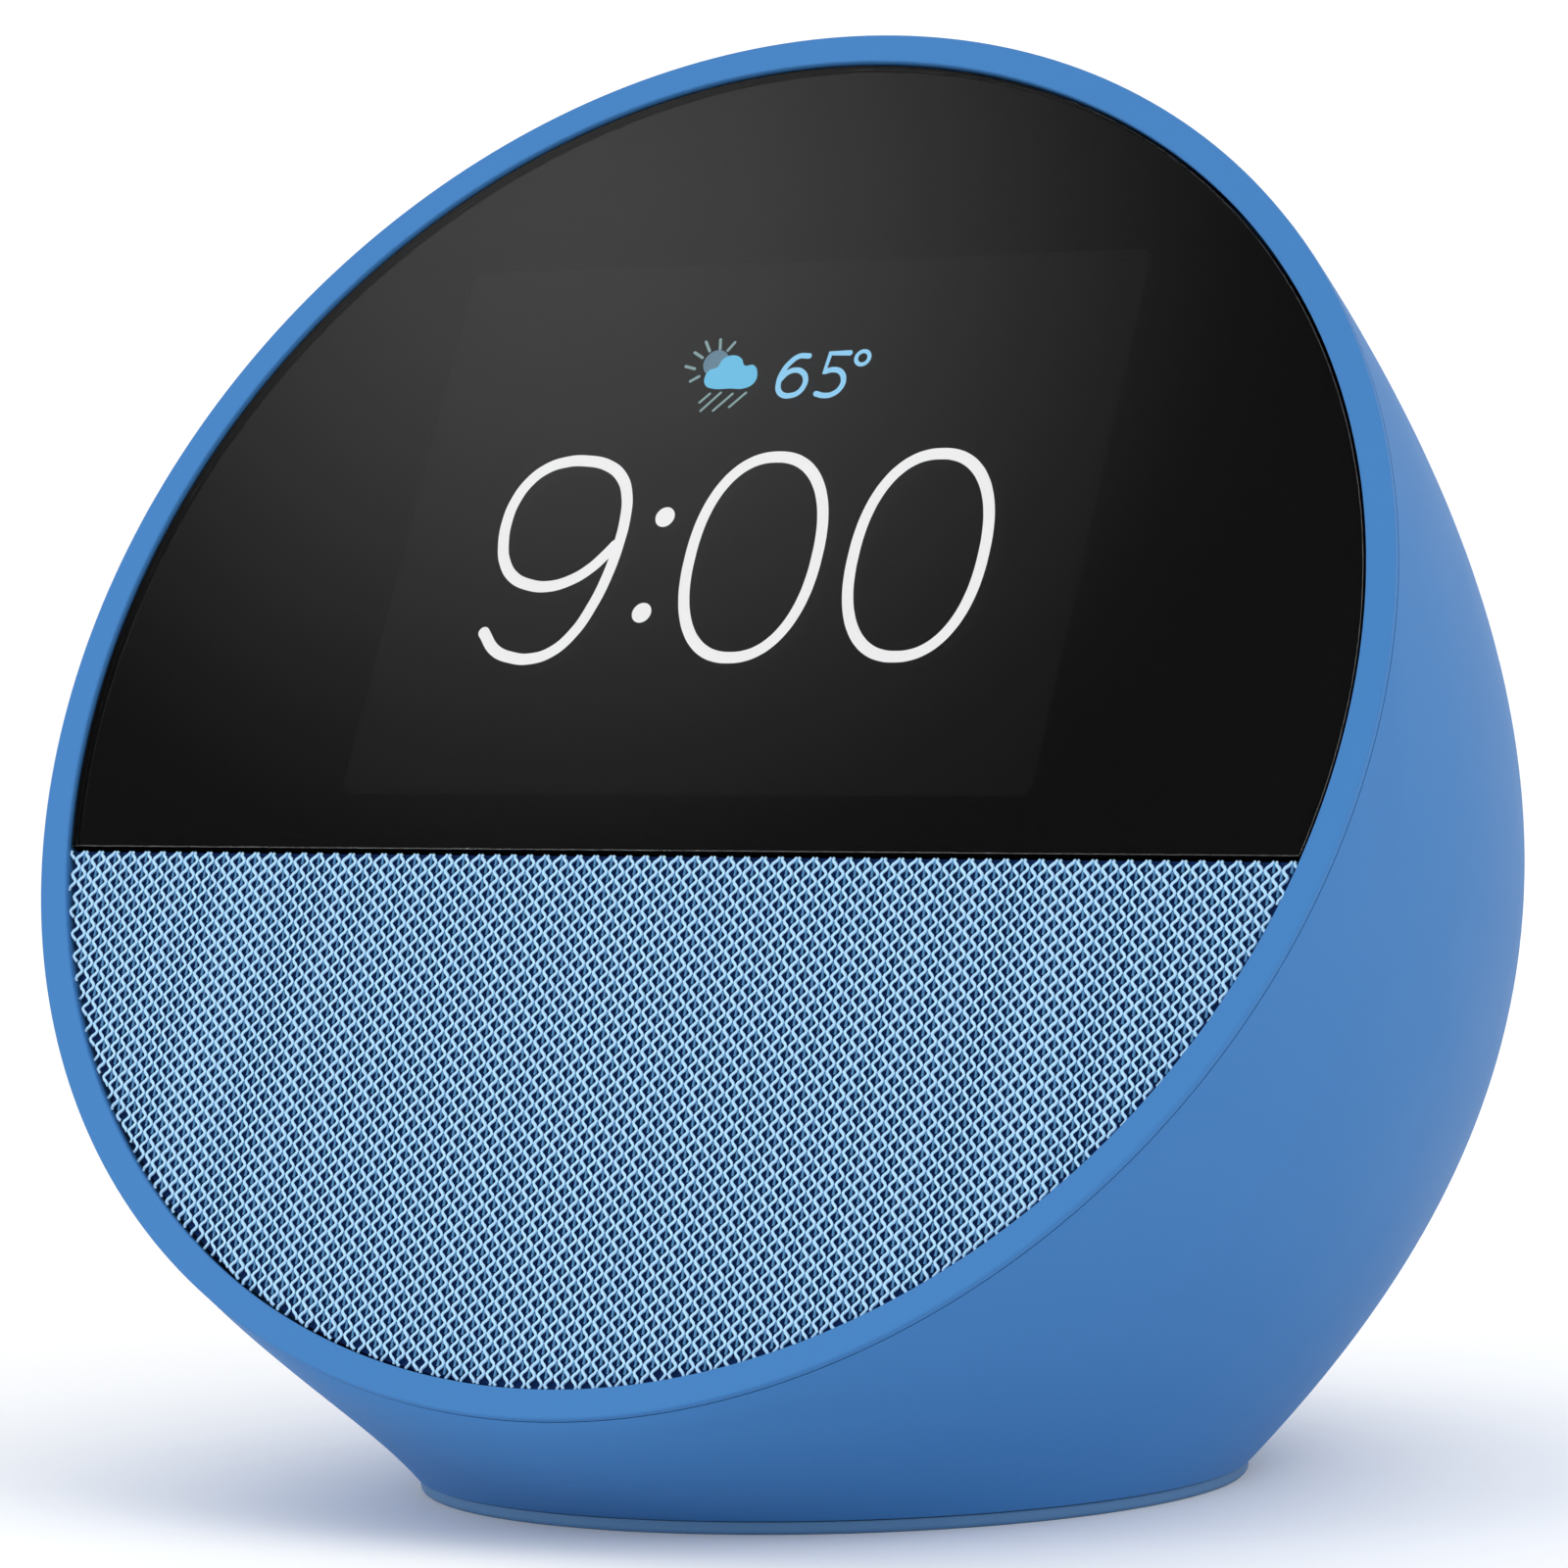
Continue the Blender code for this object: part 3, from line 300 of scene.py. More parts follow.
BOARD = striped("solder_masked_glass_epoxy", "#0E4A2A", "#1C6A3E", 1.0, 0.35, distortion=6.0)
POLYIMIDE = striped("polyimide_flat_cable", "#9A5A1C", "#C98534", 0.5, 0.30, ior=1.7)
SPIDER = striped("stiffened_cotton_weave", "#B79A55", "#D2B873", 0.4, 0.85, depth_mm=0.06)
PAPER = moulded("felted_paper_cone", "#161616", "#222221", 0.88, 0.12, 0.030, drift_mm=4)
print("other finishes:", [finish.name for finish in (BOARD, POLYIMIDE, SPIDER, PAPER)])

# %% [markdown]
# ## Floor and light
#
# The object stands on a pale floor in a bright, even studio. The sky is soft white all
# round, with a dark flag hung up and to the left of the lens, and a small soft glow in the
# middle of the flag: that is what the flat glass mirrors, and it gives the glass its
# gentle gradient. Two soft lamps shape the body.

# %% Floor
FLOOR_SIZE = 12.0
bpy.ops.mesh.primitive_plane_add(size=FLOOR_SIZE)
floor = bpy.context.object
floor.name = "studio_floor"
floor_paper, tree, shader, place = open_material("pale_floor_paper", Roughness=0.9)
two_tone(tree, shader, noise(tree, place, 0.02, 2.0), "#F9F9F8", "#FBFBFB")
floor.data.materials.append(floor_paper)

# %% Sky with a dark flag and a glow
SKY_STRENGTH = 1.1
GLOW_CENTRE = (-0.528, 0.421, 0.738)  # across, up and out of the face, as a direction
GLOW_REACH = 0.094
GLOW_STRENGTH = 0.55
FLAG_STRENGTH = 0.05
FLAG_FROM = 0.16
FLAG_TO = 0.32

world = bpy.data.worlds.new("studio_sky")
bpy.context.scene.world = world
world.use_nodes = True
tree = world.node_tree
background = tree.nodes["Background"]
background.inputs["Color"].default_value = linear("#FFFFFF")
direction = add(tree, "ShaderNodeTexCoord").outputs["Generated"]
parts = []
for axis in FACE.to_3x3().col:
    part = add(tree, "ShaderNodeVectorMath", {0: direction, 1: axis}, operation="DOT_PRODUCT")
    parts.append(part.outputs["Value"])
spot = add(tree, "ShaderNodeCombineXYZ", dict(zip("XYZ", parts)))
distance = add(
    tree, "ShaderNodeVectorMath", {0: spot.outputs["Vector"], 1: GLOW_CENTRE}, operation="DISTANCE"
)


def fade(start, end, low, high):
    """Strength that changes softly with the distance from the glow's centre."""
    return add(
        tree,
        "ShaderNodeMapRange",
        {
            "Value": distance.outputs["Value"],
            "From Min": start,
            "From Max": end,
            "To Min": low,
            "To Max": high,
        },
        interpolation_type="SMOOTHSTEP",
    ).outputs["Result"]


glow = fade(0.0, GLOW_REACH, GLOW_STRENGTH, FLAG_STRENGTH)
beyond = fade(FLAG_FROM, FLAG_TO, 0.0, SKY_STRENGTH - FLAG_STRENGTH)
total = add(tree, "ShaderNodeMath", {0: glow, 1: beyond}, operation="ADD")
tree.links.new(total.outputs["Value"], background.inputs["Strength"])
print("sky strength:", SKY_STRENGTH)


# %% Lamps
def lamp(name, place, size, power):
    """A soft round lamp that looks at the object and isn't seen by the camera."""
    bpy.ops.object.light_add(type="AREA", location=place)
    light = bpy.context.object
    light.name = name
    light.rotation_euler = (CAMERA_TARGET - Vector(place)).to_track_quat("-Z", "Y").to_euler()
    light.data.shape = "DISK"
    light.data.size = size
    light.data.energy = power
    light.visible_camera = False


lamp("key_lamp", (1.1, -0.5, 1.0), size=0.9, power=3.8)
lamp("side_lamp", (-0.34, -0.45, 0.2), size=0.25, power=0.6)
bpy.context.scene.view_settings.view_transform = "Standard"

# %% [markdown]
# ## Tools for modelling
#
# Most pieces here are turned or flat. A turned piece is drawn as on a lathe: a ring of
# edges is added once, then extruded, scaled and lifted from point to point of its outline.
# Sharp corners of an outline are first rounded to a small radius, as a mould always leaves
# them. The other helpers select by place, apply a modifier, and settle a piece so that its
# object is at the origin and its place is in its mesh.


# %% Modelling helpers
def deselect():
    if bpy.context.object and bpy.context.object.mode != "OBJECT":
        bpy.ops.object.mode_set(mode="OBJECT")
    bpy.ops.object.select_all(action="DESELECT")


def take(piece):
    """Makes one piece the only selected and active one."""
    deselect()
    piece.select_set(True)
    bpy.context.view_layer.objects.active = piece


def edit(piece, test=None, kind="FACE"):
    """Opens a piece for editing, with the faces or edges that pass the test selected."""
    take(piece)
    mesh = piece.data
    for part in (mesh.vertices, mesh.edges, mesh.polygons):
        part.foreach_set("select", [test is None] * len(part))
    if test and kind == "FACE":
        for polygon in mesh.polygons:
            polygon.select = test(polygon.center, polygon.normal)
    if test and kind == "EDGE":
        for edge in mesh.edges:
            a, b = (mesh.vertices[i].co for i in edge.vertices)
            edge.select = test((a + b) / 2, (b - a).normalized())
    bpy.context.tool_settings.mesh_select_mode = (False, kind == "EDGE", kind == "FACE")
    bpy.ops.object.mode_set(mode="EDIT")


def settle(piece, matrix=None):
    """Lays a piece in its frame, and puts that place into its mesh."""
    take(piece)
    if matrix is not None:
        piece.matrix_world = matrix @ piece.matrix_world
    bpy.ops.object.transform_apply(location=True, rotation=True, scale=True)
    return piece


def modify(piece, kind, **settings):
    """Adds a modifier and applies it at once."""
    take(piece)
    modifier = piece.modifiers.new(kind.lower(), kind)
    for name, value in settings.items():
        setattr(modifier, name, value)
    bpy.ops.object.modifier_apply(modifier=modifier.name)


def carve(piece, tool, operation="DIFFERENCE"):
    """Cuts, joins or trims a piece with another, which is used up."""
    modify(piece, "BOOLEAN", operation=operation, solver="EXACT", object=tool)
    bpy.data.objects.remove(tool)


def smooth(piece, degrees=30.0):
    """Smooth shading up to an angle, weighted by area so that flats stay optically flat."""
    take(piece)
    bpy.ops.object.shade_smooth_by_angle(angle=math.radians(degrees))
    modify(piece, "WEIGHTED_NORMAL", keep_sharp=True, weight=80)


def rounded(corners, steps=4):
    """An outline of (radius, height, rounding) corners, in mm, with each corner rounded."""
    points = []
    count = len(corners)
    for i, (x, y, rounding) in enumerate(corners):
        here = Vector((x, y))
        if rounding <= 0:
            points.append(here)
            continue
        before = (Vector(corners[i - 1][:2]) - here).normalized()
        after = (Vector(corners[(i + 1) % count][:2]) - here).normalized()
        half = before.angle(after) / 2
        reach = rounding / math.tan(half)
        centre = here + (before + after).normalized() * rounding / math.sin(half)
        start, end = here + before * reach - centre, here + after * reach - centre
        sweep = start.angle_signed(end)
        for k in range(steps + 1):
            points.append(centre + Matrix.Rotation(-sweep * k / steps, 2) @ start)
    return points


def turned(name, outline, sides=192, close=False):
    """A lathe piece round Z from an outline of (radius, height) in mm."""
    pole = 0.004
    outline = [(max(radius, pole) * MM, height * MM) for radius, height in outline]
    if close:
        outline.append(outline[0])
    radius, height = outline[0]
    deselect()
    bpy.ops.mesh.primitive_circle_add(vertices=sides, radius=radius, location=(0, 0, height))
    piece = bpy.context.object
    piece.name = piece.data.name = name
    bpy.context.tool_settings.mesh_select_mode = (True, False, False)
    bpy.ops.object.mode_set(mode="EDIT")
    for wide, high in outline[1:]:
        bpy.ops.mesh.extrude_region_move(TRANSFORM_OT_translate={"value": (0, 0, high - height)})
        share = wide / radius
        bpy.ops.transform.resize(value=(share, share, 1), center_override=(0, 0, high))
        radius, height = wide, high
    bpy.ops.object.mode_set(mode="OBJECT")
    settle(piece)
    edit(piece)
    bpy.ops.mesh.remove_doubles(threshold=1e-5)
    bpy.ops.mesh.normals_make_consistent(inside=False)
    bpy.ops.object.mode_set(mode="OBJECT")
    return piece


def dress(piece, material, replaces=(), body="housing"):
    """Gives a finished piece its material and its body, and hides the CAD nodes it stands for."""
    piece.data.materials.clear()
    piece.data.materials.append(material)
    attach(piece, body)
    if replaces:
        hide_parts(*replaces)
    piece.data.calc_loop_triangles()
    print(piece.name, len(piece.data.loop_triangles), "triangles")
    return piece


# %% [markdown]
# ## Bezel ring
#
# The ring is one turned moulding: a flat matt band 2.3 mm wide, with crisp edges rounded
# to about 0.2 mm, a skirt that plugs into the body, and a ledge inside for the glass. Its
# outer edge comes down close to the body and leaves a seam under 0.1 mm. A lathe outline
# gives all of it, and the rounding catches the light in a thin line.

# %% Turn the ring
RING_EDGE_DEPTH = 0.61
SKIRT_RADIUS = 55.0
SKIRT_DEPTH = 4.8
LEDGE_RADIUS = 52.2
LEDGE_DEPTH = 3.4

bezel_outline = rounded(
    [
        (SKIRT_RADIUS, -SKIRT_DEPTH, 0.2),
        (SKIRT_RADIUS, -RING_EDGE_DEPTH, 0.05),
        (FACE_RADIUS, -RING_EDGE_DEPTH, 0.04),
        (FACE_RADIUS, 0.0, 0.22),
        (FACE_OPENING, 0.0, 0.16),
        (FACE_OPENING, -LEDGE_DEPTH, 0.1),
        (LEDGE_RADIUS, -LEDGE_DEPTH, 0.1),
        (LEDGE_RADIUS, -SKIRT_DEPTH, 0.2),
    ]
)
bezel = turned("bezel", bezel_outline, sides=288, close=True)
settle(bezel, FACE)
smooth(bezel)
dress(bezel, BLUE_ABS, replaces=["bezel_ring"])

# %% [markdown]
# ## Body shell
#
# The body is one smooth sweep from the tilted rim circle, out past a wide middle, and in
# to the small foot circle. It isn't a lathe shape, since the rim is tilted, so it starts as
# a plain grid whose points are moved onto the sweep: each row of the grid becomes one
# turn round the body. The wall is then given its 2.2 mm thickness inward, and the holes
# are cut.

# %% The sweep
RIM_DEPTH = 0.7
MIDDLE_CENTRE = Vector((0.0, 27.25, 28.5))
MIDDLE_HALF_WIDTH = 54.3
MIDDLE_HALF_DEPTH = 73.9
MIDDLE_TILT = math.radians(16.0)
MIDDLE_WEIGHT = 0.93
FOOT_LINE = 1.05
FOOT_LINE_RADIUS = 31.75
WALL = 2.2


def skin_point(sweep, angle):
    """A point on the skin in metres: sweep 0 at the rim, 1 at the foot; angle 0 at the back."""
    rim = Vector((math.sin(angle) * FACE_RADIUS, math.cos(angle) * FACE_RADIUS, -RIM_DEPTH))
    rim = FACE @ (rim * MM)
    slope = Vector((0.0, math.cos(MIDDLE_TILT), math.sin(MIDDLE_TILT))) * math.cos(angle)
    side = Vector((math.sin(angle), 0.0, 0.0))
    middle = (MIDDLE_CENTRE + side * MIDDLE_HALF_WIDTH + slope * MIDDLE_HALF_DEPTH) * MM
    foot = Vector(
        (math.sin(angle) * FOOT_LINE_RADIUS, math.cos(angle) * FOOT_LINE_RADIUS, FOOT_LINE)
    )
    shares = ((1 - sweep) ** 2, 2 * MIDDLE_WEIGHT * sweep * (1 - sweep), sweep**2)
    return (rim * shares[0] + middle * shares[1] + foot * MM * shares[2]) / sum(shares)


def swept_skin(name, around=216, along=64, closed=False):
    """The skin as a grid wrapped round the body; closed adds the face and the foot."""
    deselect()
    bpy.ops.mesh.primitive_grid_add(x_subdivisions=around, y_subdivisions=along, size=2.0)
    skin = bpy.context.object
    skin.name = skin.data.name = name
    for vertex in skin.data.vertices:
        angle = round((vertex.co.x + 1) / 2 * around) % around
        sweep = (1 - vertex.co.y) / 2
        vertex.co = skin_point(sweep, 2 * math.pi * angle / around)
    edit(skin)
    bpy.ops.mesh.remove_doubles(threshold=1e-6)
    if closed:
        bpy.ops.mesh.select_all(action="DESELECT")
        bpy.ops.mesh.select_mode(type="EDGE")
        bpy.ops.mesh.select_non_manifold()
        bpy.ops.mesh.edge_face_add()
        bpy.ops.mesh.select_all(action="SELECT")
    bpy.ops.mesh.normals_make_consistent(inside=False)
    bpy.ops.object.mode_set(mode="OBJECT")
    return skin


shell = swept_skin("body_shell")
highest = max(shell.data.vertices, key=lambda v: v.co.y)
outward = highest.normal.y > 0
print("skin:", len(shell.data.vertices), "points; faces outward:", outward)
if not outward:
    edit(shell)
    bpy.ops.mesh.flip_normals()
    bpy.ops.object.mode_set(mode="OBJECT")
modify(shell, "SOLIDIFY", thickness=WALL * MM, offset=-1.0, use_even_offset=True)

# %% [markdown]
# ## Holes in the body
#
# Round the rim, a step is cut for the ring's skirt. On top are three button holes and two
# pinholes for the microphones, in a row that lies flat on the skin; the edges of the button
# holes are softened. Low at the back is the power inlet: a round well with its own cup
# behind it, trimmed to the skin.

# %% The button row's frame
BUTTON_SWEEP = 0.1
BUTTON_PITCH = 12.5
BUTTON_RADIUS = 4.0
BUTTONS = {"volume_down": -BUTTON_PITCH, "mic_mute": 0.0, "volume_up": BUTTON_PITCH}

row_place = skin_point(BUTTON_SWEEP, 0.0)
row_back = (skin_point(BUTTON_SWEEP + 0.001, 0.0) - row_place).normalized()
row_out = Vector((1, 0, 0)).cross(row_back)
KEYS = Matrix.Translation(row_place) @ Matrix(
    (Vector((1, 0, 0)), row_back, row_out)
).transposed().to_4x4()
print("buttons face", [round(x, 3) for x in row_out])

# %% Cut the holes
RING_STEP_RADIUS = 55.3
RING_STEP_DEPTH = 5.1
BUTTON_HOLE_RADIUS = BUTTON_RADIUS + 0.3
BUTTON_HOLE_DEPTH = 5.4
PINHOLE_RADIUS = 0.5
PINHOLE_DEPTH = 4.5
PINHOLE_BACK = 3.2  # behind the middle of the buttons
CUP_RADIUS = 7.0
CUP_DEPTH = 8.4
WELL_RADIUS = 5.5
WELL_DEPTH = 7.0
SOCKET_HOLE_RADIUS = 4.1
SOCKET_HOLE_DEPTH = 12.0
HOLE_SOFTENING = 0.2


def rod(radius, low, high, matrix, at=(0.0, 0.0), sides=96):
    """A plain cylinder used as a cutting tool, in mm."""
    deselect()
    bpy.ops.mesh.primitive_cylinder_add(
        vertices=sides,
        radius=radius * MM,
        depth=(high - low) * MM,
        location=(at[0] * MM, at[1] * MM, (low + high) / 2 * MM),
    )
    return settle(bpy.context.object, matrix)


def on_top_edge(x, radius):
    """A test for the edges where a hole or a cap in the button row meets the skin."""
    to_row = KEYS.inverted()
    axis = KEYS.to_3x3() @ Vector((0, 0, 1))

    def test(middle, along):
        local = to_row @ middle / MM
        away = math.hypot(local.x - x, local.y)
        across = abs(along.dot(axis)) < 0.7
        return across and abs(away - radius) < 0.03 and local.z > -3.5

    return test


def soften_edge(piece, test, width):
    """Rounds the edges that pass the test, to a width in mm."""
    edit(piece, test, "EDGE")
    bpy.ops.mesh.bevel(offset=width * MM, segments=3, affect="EDGES", clamp_overlap=True)
    bpy.ops.object.mode_set(mode="OBJECT")


cup = rod(CUP_RADIUS, -CUP_DEPTH, 8.0, INLET)
carve(cup, swept_skin("trim", 108, 32, closed=True), operation="INTERSECT")
carve(shell, cup, operation="UNION")
carve(shell, rod(RING_STEP_RADIUS, -RING_STEP_DEPTH, 2.0, FACE, sides=288))
for x in BUTTONS.values():
    carve(shell, rod(BUTTON_HOLE_RADIUS, -BUTTON_HOLE_DEPTH, 3.0, KEYS, (x, 0.0)))
for x in (-BUTTON_PITCH / 2, BUTTON_PITCH / 2):
    carve(shell, rod(PINHOLE_RADIUS, -PINHOLE_DEPTH, 2.0, KEYS, (x, PINHOLE_BACK), sides=24))
carve(shell, rod(WELL_RADIUS, -WELL_DEPTH, 12.0, INLET))
carve(shell, rod(SOCKET_HOLE_RADIUS, -SOCKET_HOLE_DEPTH, 0.0, INLET, sides=64))
for x in BUTTONS.values():
    soften_edge(shell, on_top_edge(x, BUTTON_HOLE_RADIUS), HOLE_SOFTENING)
smooth(shell, 28.0)
dress(shell, BLUE_ABS, replaces=["rear_housing"])

# %% [markdown]
# ## Foot
#
# A thin soft pad in a greyer and duller blue than the body, with a rounded lower edge and a
# thin lip that meets the body. Underneath it has a shallow recess with two raised rings,
# which give it its grip.

# %% Turn the foot
FOOT_RADIUS = 31.5
FOOT_TOP = 0.75
LIP_TOP = 0.98
FOOT_RECESS = 0.3
GRIP_GAP = 0.05
GRIPS = ((21.0, 19.0), (11.0, 9.0))

grip_outline = []
for outer, inner in GRIPS:
    grip_outline += [
        (outer + 0.2, FOOT_RECESS, 0.1),
        (outer, GRIP_GAP, 0.1),
        (inner, GRIP_GAP, 0.1),
        (inner - 0.2, FOOT_RECESS, 0.1),
    ]
foot_outline = rounded(
    [
        (0.0, FOOT_TOP, 0),
        (30.7, FOOT_TOP, 0),
        (30.9, LIP_TOP, 0.05),
        (FOOT_RADIUS, LIP_TOP, 0.08),
        (FOOT_RADIUS, 0.0, 0.38),
        (27.4, 0.0, 0.12),
        (27.2, FOOT_RECESS, 0.1),
        *grip_outline,
        (0.0, FOOT_RECESS, 0),
    ]
)
foot = turned("foot_ring", foot_outline)
smooth(foot)
dress(foot, BLUE_TPE, replaces=["foot_pad"])

# %% [markdown]
# ## Button caps
#
# Three round caps stand in their holes, flush with the skin, so their tops share its
# curve. Each is turned as a plain plug with a flange that keeps it in, trimmed by the same
# sweep as the body, and then its top edge is bevelled.

# %% Turn and trim the caps
CAP_BEVEL = 0.25
CAP_OUTLINE = [
    (0.0, 3.0),
    (BUTTON_RADIUS, 3.0),
    (BUTTON_RADIUS, -5.7),
    (4.9, -5.7),  # the flange
    (4.9, -6.4),
    (1.2, -6.4),  # the stub that presses the plunger
    (1.2, -6.8),
    (0.0, -6.8),
]

caps = {}
for name, x in BUTTONS.items():
    cap = turned(name + "_cap", CAP_OUTLINE, sides=96)
    settle(cap, KEYS @ Matrix.Translation((x * MM, 0, 0)))
    carve(cap, swept_skin("trim", closed=True), operation="INTERSECT")
    soften_edge(cap, on_top_edge(x, BUTTON_RADIUS), CAP_BEVEL)
    smooth(cap, 25.0)
    dress(cap, BLUE_ABS, replaces=[name + "_button"], body=name)
    caps[name] = cap

# %% [markdown]
# ## Strokes
#
# The marks on the caps and the figures on the screen are all drawn with one tool: a curve
# through a few points, given a round section, turned into a mesh and pressed flat. It
# keeps an even line width round every bend, and a round dot closes each open end.

# %% Drawing helpers
FIGURE_THICKNESS = 0.02


def curve_through(name, points, closed=False, corners=()):
    """A smooth curve through points in mm; the listed corners stay sharp."""
    curve = bpy.data.curves.new(name, "CURVE")
    spline = curve.splines.new("BEZIER")
    spline.bezier_points.add(len(points) - 1)
    for i, (knot, (x, y)) in enumerate(zip(spline.bezier_points, points)):
        knot.co = (x * MM, y * MM, 0.0)
        knot.handle_left_type = knot.handle_right_type = "VECTOR" if i in corners else "AUTO"
    spline.use_cyclic_u = closed
    spline.resolution_u = 8
    drawn = bpy.data.objects.new(name, curve)
    bpy.context.collection.objects.link(drawn)
    return drawn


def flattened(drawn, thickness):
    """Turns a curve into a mesh and presses it to a thickness in mm, standing on Z 0."""
    take(drawn)
    bpy.ops.object.convert(target="MESH")
    drawn = bpy.context.object
    high = max(v.co.z for v in drawn.data.vertices)
    low = min(v.co.z for v in drawn.data.vertices)
    edit(drawn)
    bpy.ops.mesh.remove_doubles(threshold=1e-8)
    share = thickness * MM / (high - low)
    bpy.ops.transform.resize(value=(1, 1, share), center_override=(0, 0, low))
    bpy.ops.transform.translate(value=(0, 0, -low))
    bpy.ops.mesh.normals_make_consistent(inside=False)
    bpy.ops.object.mode_set(mode="OBJECT")
    return drawn


def stroke(points, width, closed=False, corners=(), thickness=FIGURE_THICKNESS):
    """A flat line of even width through points in mm."""
    drawn = curve_through("stroke", points, closed, corners)
    drawn.data.dimensions = "3D"
    drawn.data.bevel_depth = width / 2 * MM
    drawn.data.bevel_resolution = 2
    drawn.data.use_fill_caps = True
    line = flattened(drawn, thickness)
    if closed:
        return line
    ends = [
        filled(ring_points(x, y, width / 2, width / 2, count=12), thickness)
        for x, y in (points[0], points[-1])
    ]
    return joined("stroke", [line, *ends])


def filled(points, thickness=FIGURE_THICKNESS):
    """A flat shape with a smooth outline through points in mm."""
    drawn = curve_through("shape", points, True)
    drawn.data.dimensions = "2D"
    drawn.data.fill_mode = "BOTH"
    drawn.data.extrude = thickness / 2 * MM
    return flattened(drawn, thickness)


def ring_points(x, y, wide, high, power=2.0, count=24):
    """Points on a round or slightly squared oval."""
    points = []
    for i in range(count):
        turn = 2 * math.pi * i / count
        c, s = math.cos(turn), math.sin(turn)
        points.append(
            (
                x + wide * math.copysign(abs(c) ** (2 / power), c),
                y + high * math.copysign(abs(s) ** (2 / power), s),
            )
        )
    return points


def joined(name, drawn):
    """Several drawn marks as one piece."""
    deselect()
    for mark in drawn:
        mark.select_set(True)
    bpy.context.view_layer.objects.active = drawn[0]
    bpy.ops.object.join()
    piece = bpy.context.object
    piece.name = piece.data.name = name
    return piece


# %% [markdown]
# ## Symbols on the caps
#
# A minus, a crossed-out microphone and a plus, printed in a paler blue. Each is laid on
# its cap where a line along the button's axis meets the dome, square to the surface there.

# %% Draw the symbols
PALE_PRINT = moulded("pale_pad_print", "#A9C6E6", "#B4CEEA", 0.5, 0.1, 0.004)
SYMBOL_LINE = 0.42
SYMBOL_THICKNESS = 0.1
SYMBOL_SINK = 0.07
MIC_CAPSULE = [(-0.5, 0.0), (-0.5, 0.9), (0.0, 1.45), (0.5, 0.9), (0.5, 0.0), (0.0, -0.5)]
MIC_CRADLE = [(-1.1, 0.1), (-0.75, -0.85), (0.0, -1.2), (0.75, -0.85), (1.1, 0.1)]
SYMBOLS = {
    "volume_down": [([(-1.3, 0.0), (1.3, 0.0)], False)],
    "volume_up": [([(-1.3, 0.0), (1.3, 0.0)], False), ([(0.0, -1.3), (0.0, 1.3)], False)],
    "mic_mute": [
        (MIC_CAPSULE, True),
        (MIC_CRADLE, False),
        ([(0.0, -1.2), (0.0, -1.8)], False),
        ([(-1.6, 1.5), (1.6, -1.7)], False),
    ],
}
for name, lines in SYMBOLS.items():
    marks = [
        stroke(points, SYMBOL_LINE, closed, thickness=SYMBOL_THICKNESS)
        for points, closed in lines
    ]
    symbol = joined(name + "_symbol", marks)
    start = KEYS @ Vector((BUTTONS[name] * MM, 0.0, 10 * MM))
    _, place, normal, _ = caps[name].ray_cast(start, -row_out)
    across = Vector((1, 0, 0))
    up_symbol = normal.cross(across).normalized()
    across = up_symbol.cross(normal)
    lay = Matrix((across, up_symbol, normal)).transposed().to_4x4()
    settle(symbol, Matrix.Translation(place - normal * SYMBOL_SINK * MM) @ lay)
    smooth(symbol)
    dress(symbol, PALE_PRINT, body=name)

# %% [markdown]
# ## Power inlet
#
# Down in the well at the back is a small barrel socket: a black nose with a bevelled
# bore, and a plated centre pin with a domed tip.

# %% Socket and pin
SOCKET_REAR = -8.7
socket_outline = rounded(
    [
        (2.9, SOCKET_REAR - 9.5, 0),
        (2.9, -7.0, 0.3),
        (3.8, -7.0, 0.15),
        (3.8, SOCKET_REAR - 0.01, 0.0),
        (4.5, SOCKET_REAR - 0.01, 0.1),
        (4.5, SOCKET_REAR - 12.0, 0.1),
        (0.0, SOCKET_REAR - 12.0, 0),
        (0.0, SOCKET_REAR - 9.5, 0),
    ]
)
socket = turned("barrel_socket", socket_outline, sides=96, close=True)
settle(socket, INLET)
smooth(socket)
dress(socket, BLACK_ABS, replaces=["power_socket"])

pin_outline = rounded([(0.0, -8.0, 0), (1.0, -8.0, 0.6), (1.0, -17.9, 0), (0.0, -17.9, 0)])
pin = turned("barrel_pin", pin_outline, sides=48)
settle(pin, INLET)
smooth(pin, 50.0)
dress(pin, ZINC, replaces=["socket_pin"])

# %% [markdown]
# ## Glass, printed border and screen
#
# Clear glass 1 mm thick covers the upper part of the face. Black ink is printed on its
# back, all but a window, and painted round its edge, so the glass looks black all over.
# Behind the window is the screen, whose unlit black is a shade lighter than the ink.


# %% Glass
def face_slab(name, radius, front, back, edge_y, upper):
    """A disc in the face, cut straight across at edge_y, keeping the part above or below."""
    deselect()
    bpy.ops.mesh.primitive_cylinder_add(
        vertices=288,
        radius=radius * MM,
        depth=(back - front) * MM,
        location=(0, 0, -(front + back) / 2 * MM),
    )
    slab = bpy.context.object
    slab.name = slab.data.name = name
    settle(slab)
    edit(slab)
    bpy.ops.mesh.bisect(
        plane_co=(0, edge_y * MM, 0),
        plane_no=(0, 1, 0),
        use_fill=True,
        clear_inner=upper,
        clear_outer=not upper,
    )
    bpy.ops.object.mode_set(mode="OBJECT")
    return slab


def at_depth(*depths):
    """A test for the edges that lie flat at one of these depths behind the face plane."""
    return lambda middle, along: (
        abs(along.z) < 0.1 and min(abs(middle.z / MM + depth) for depth in depths) < 0.001
    )


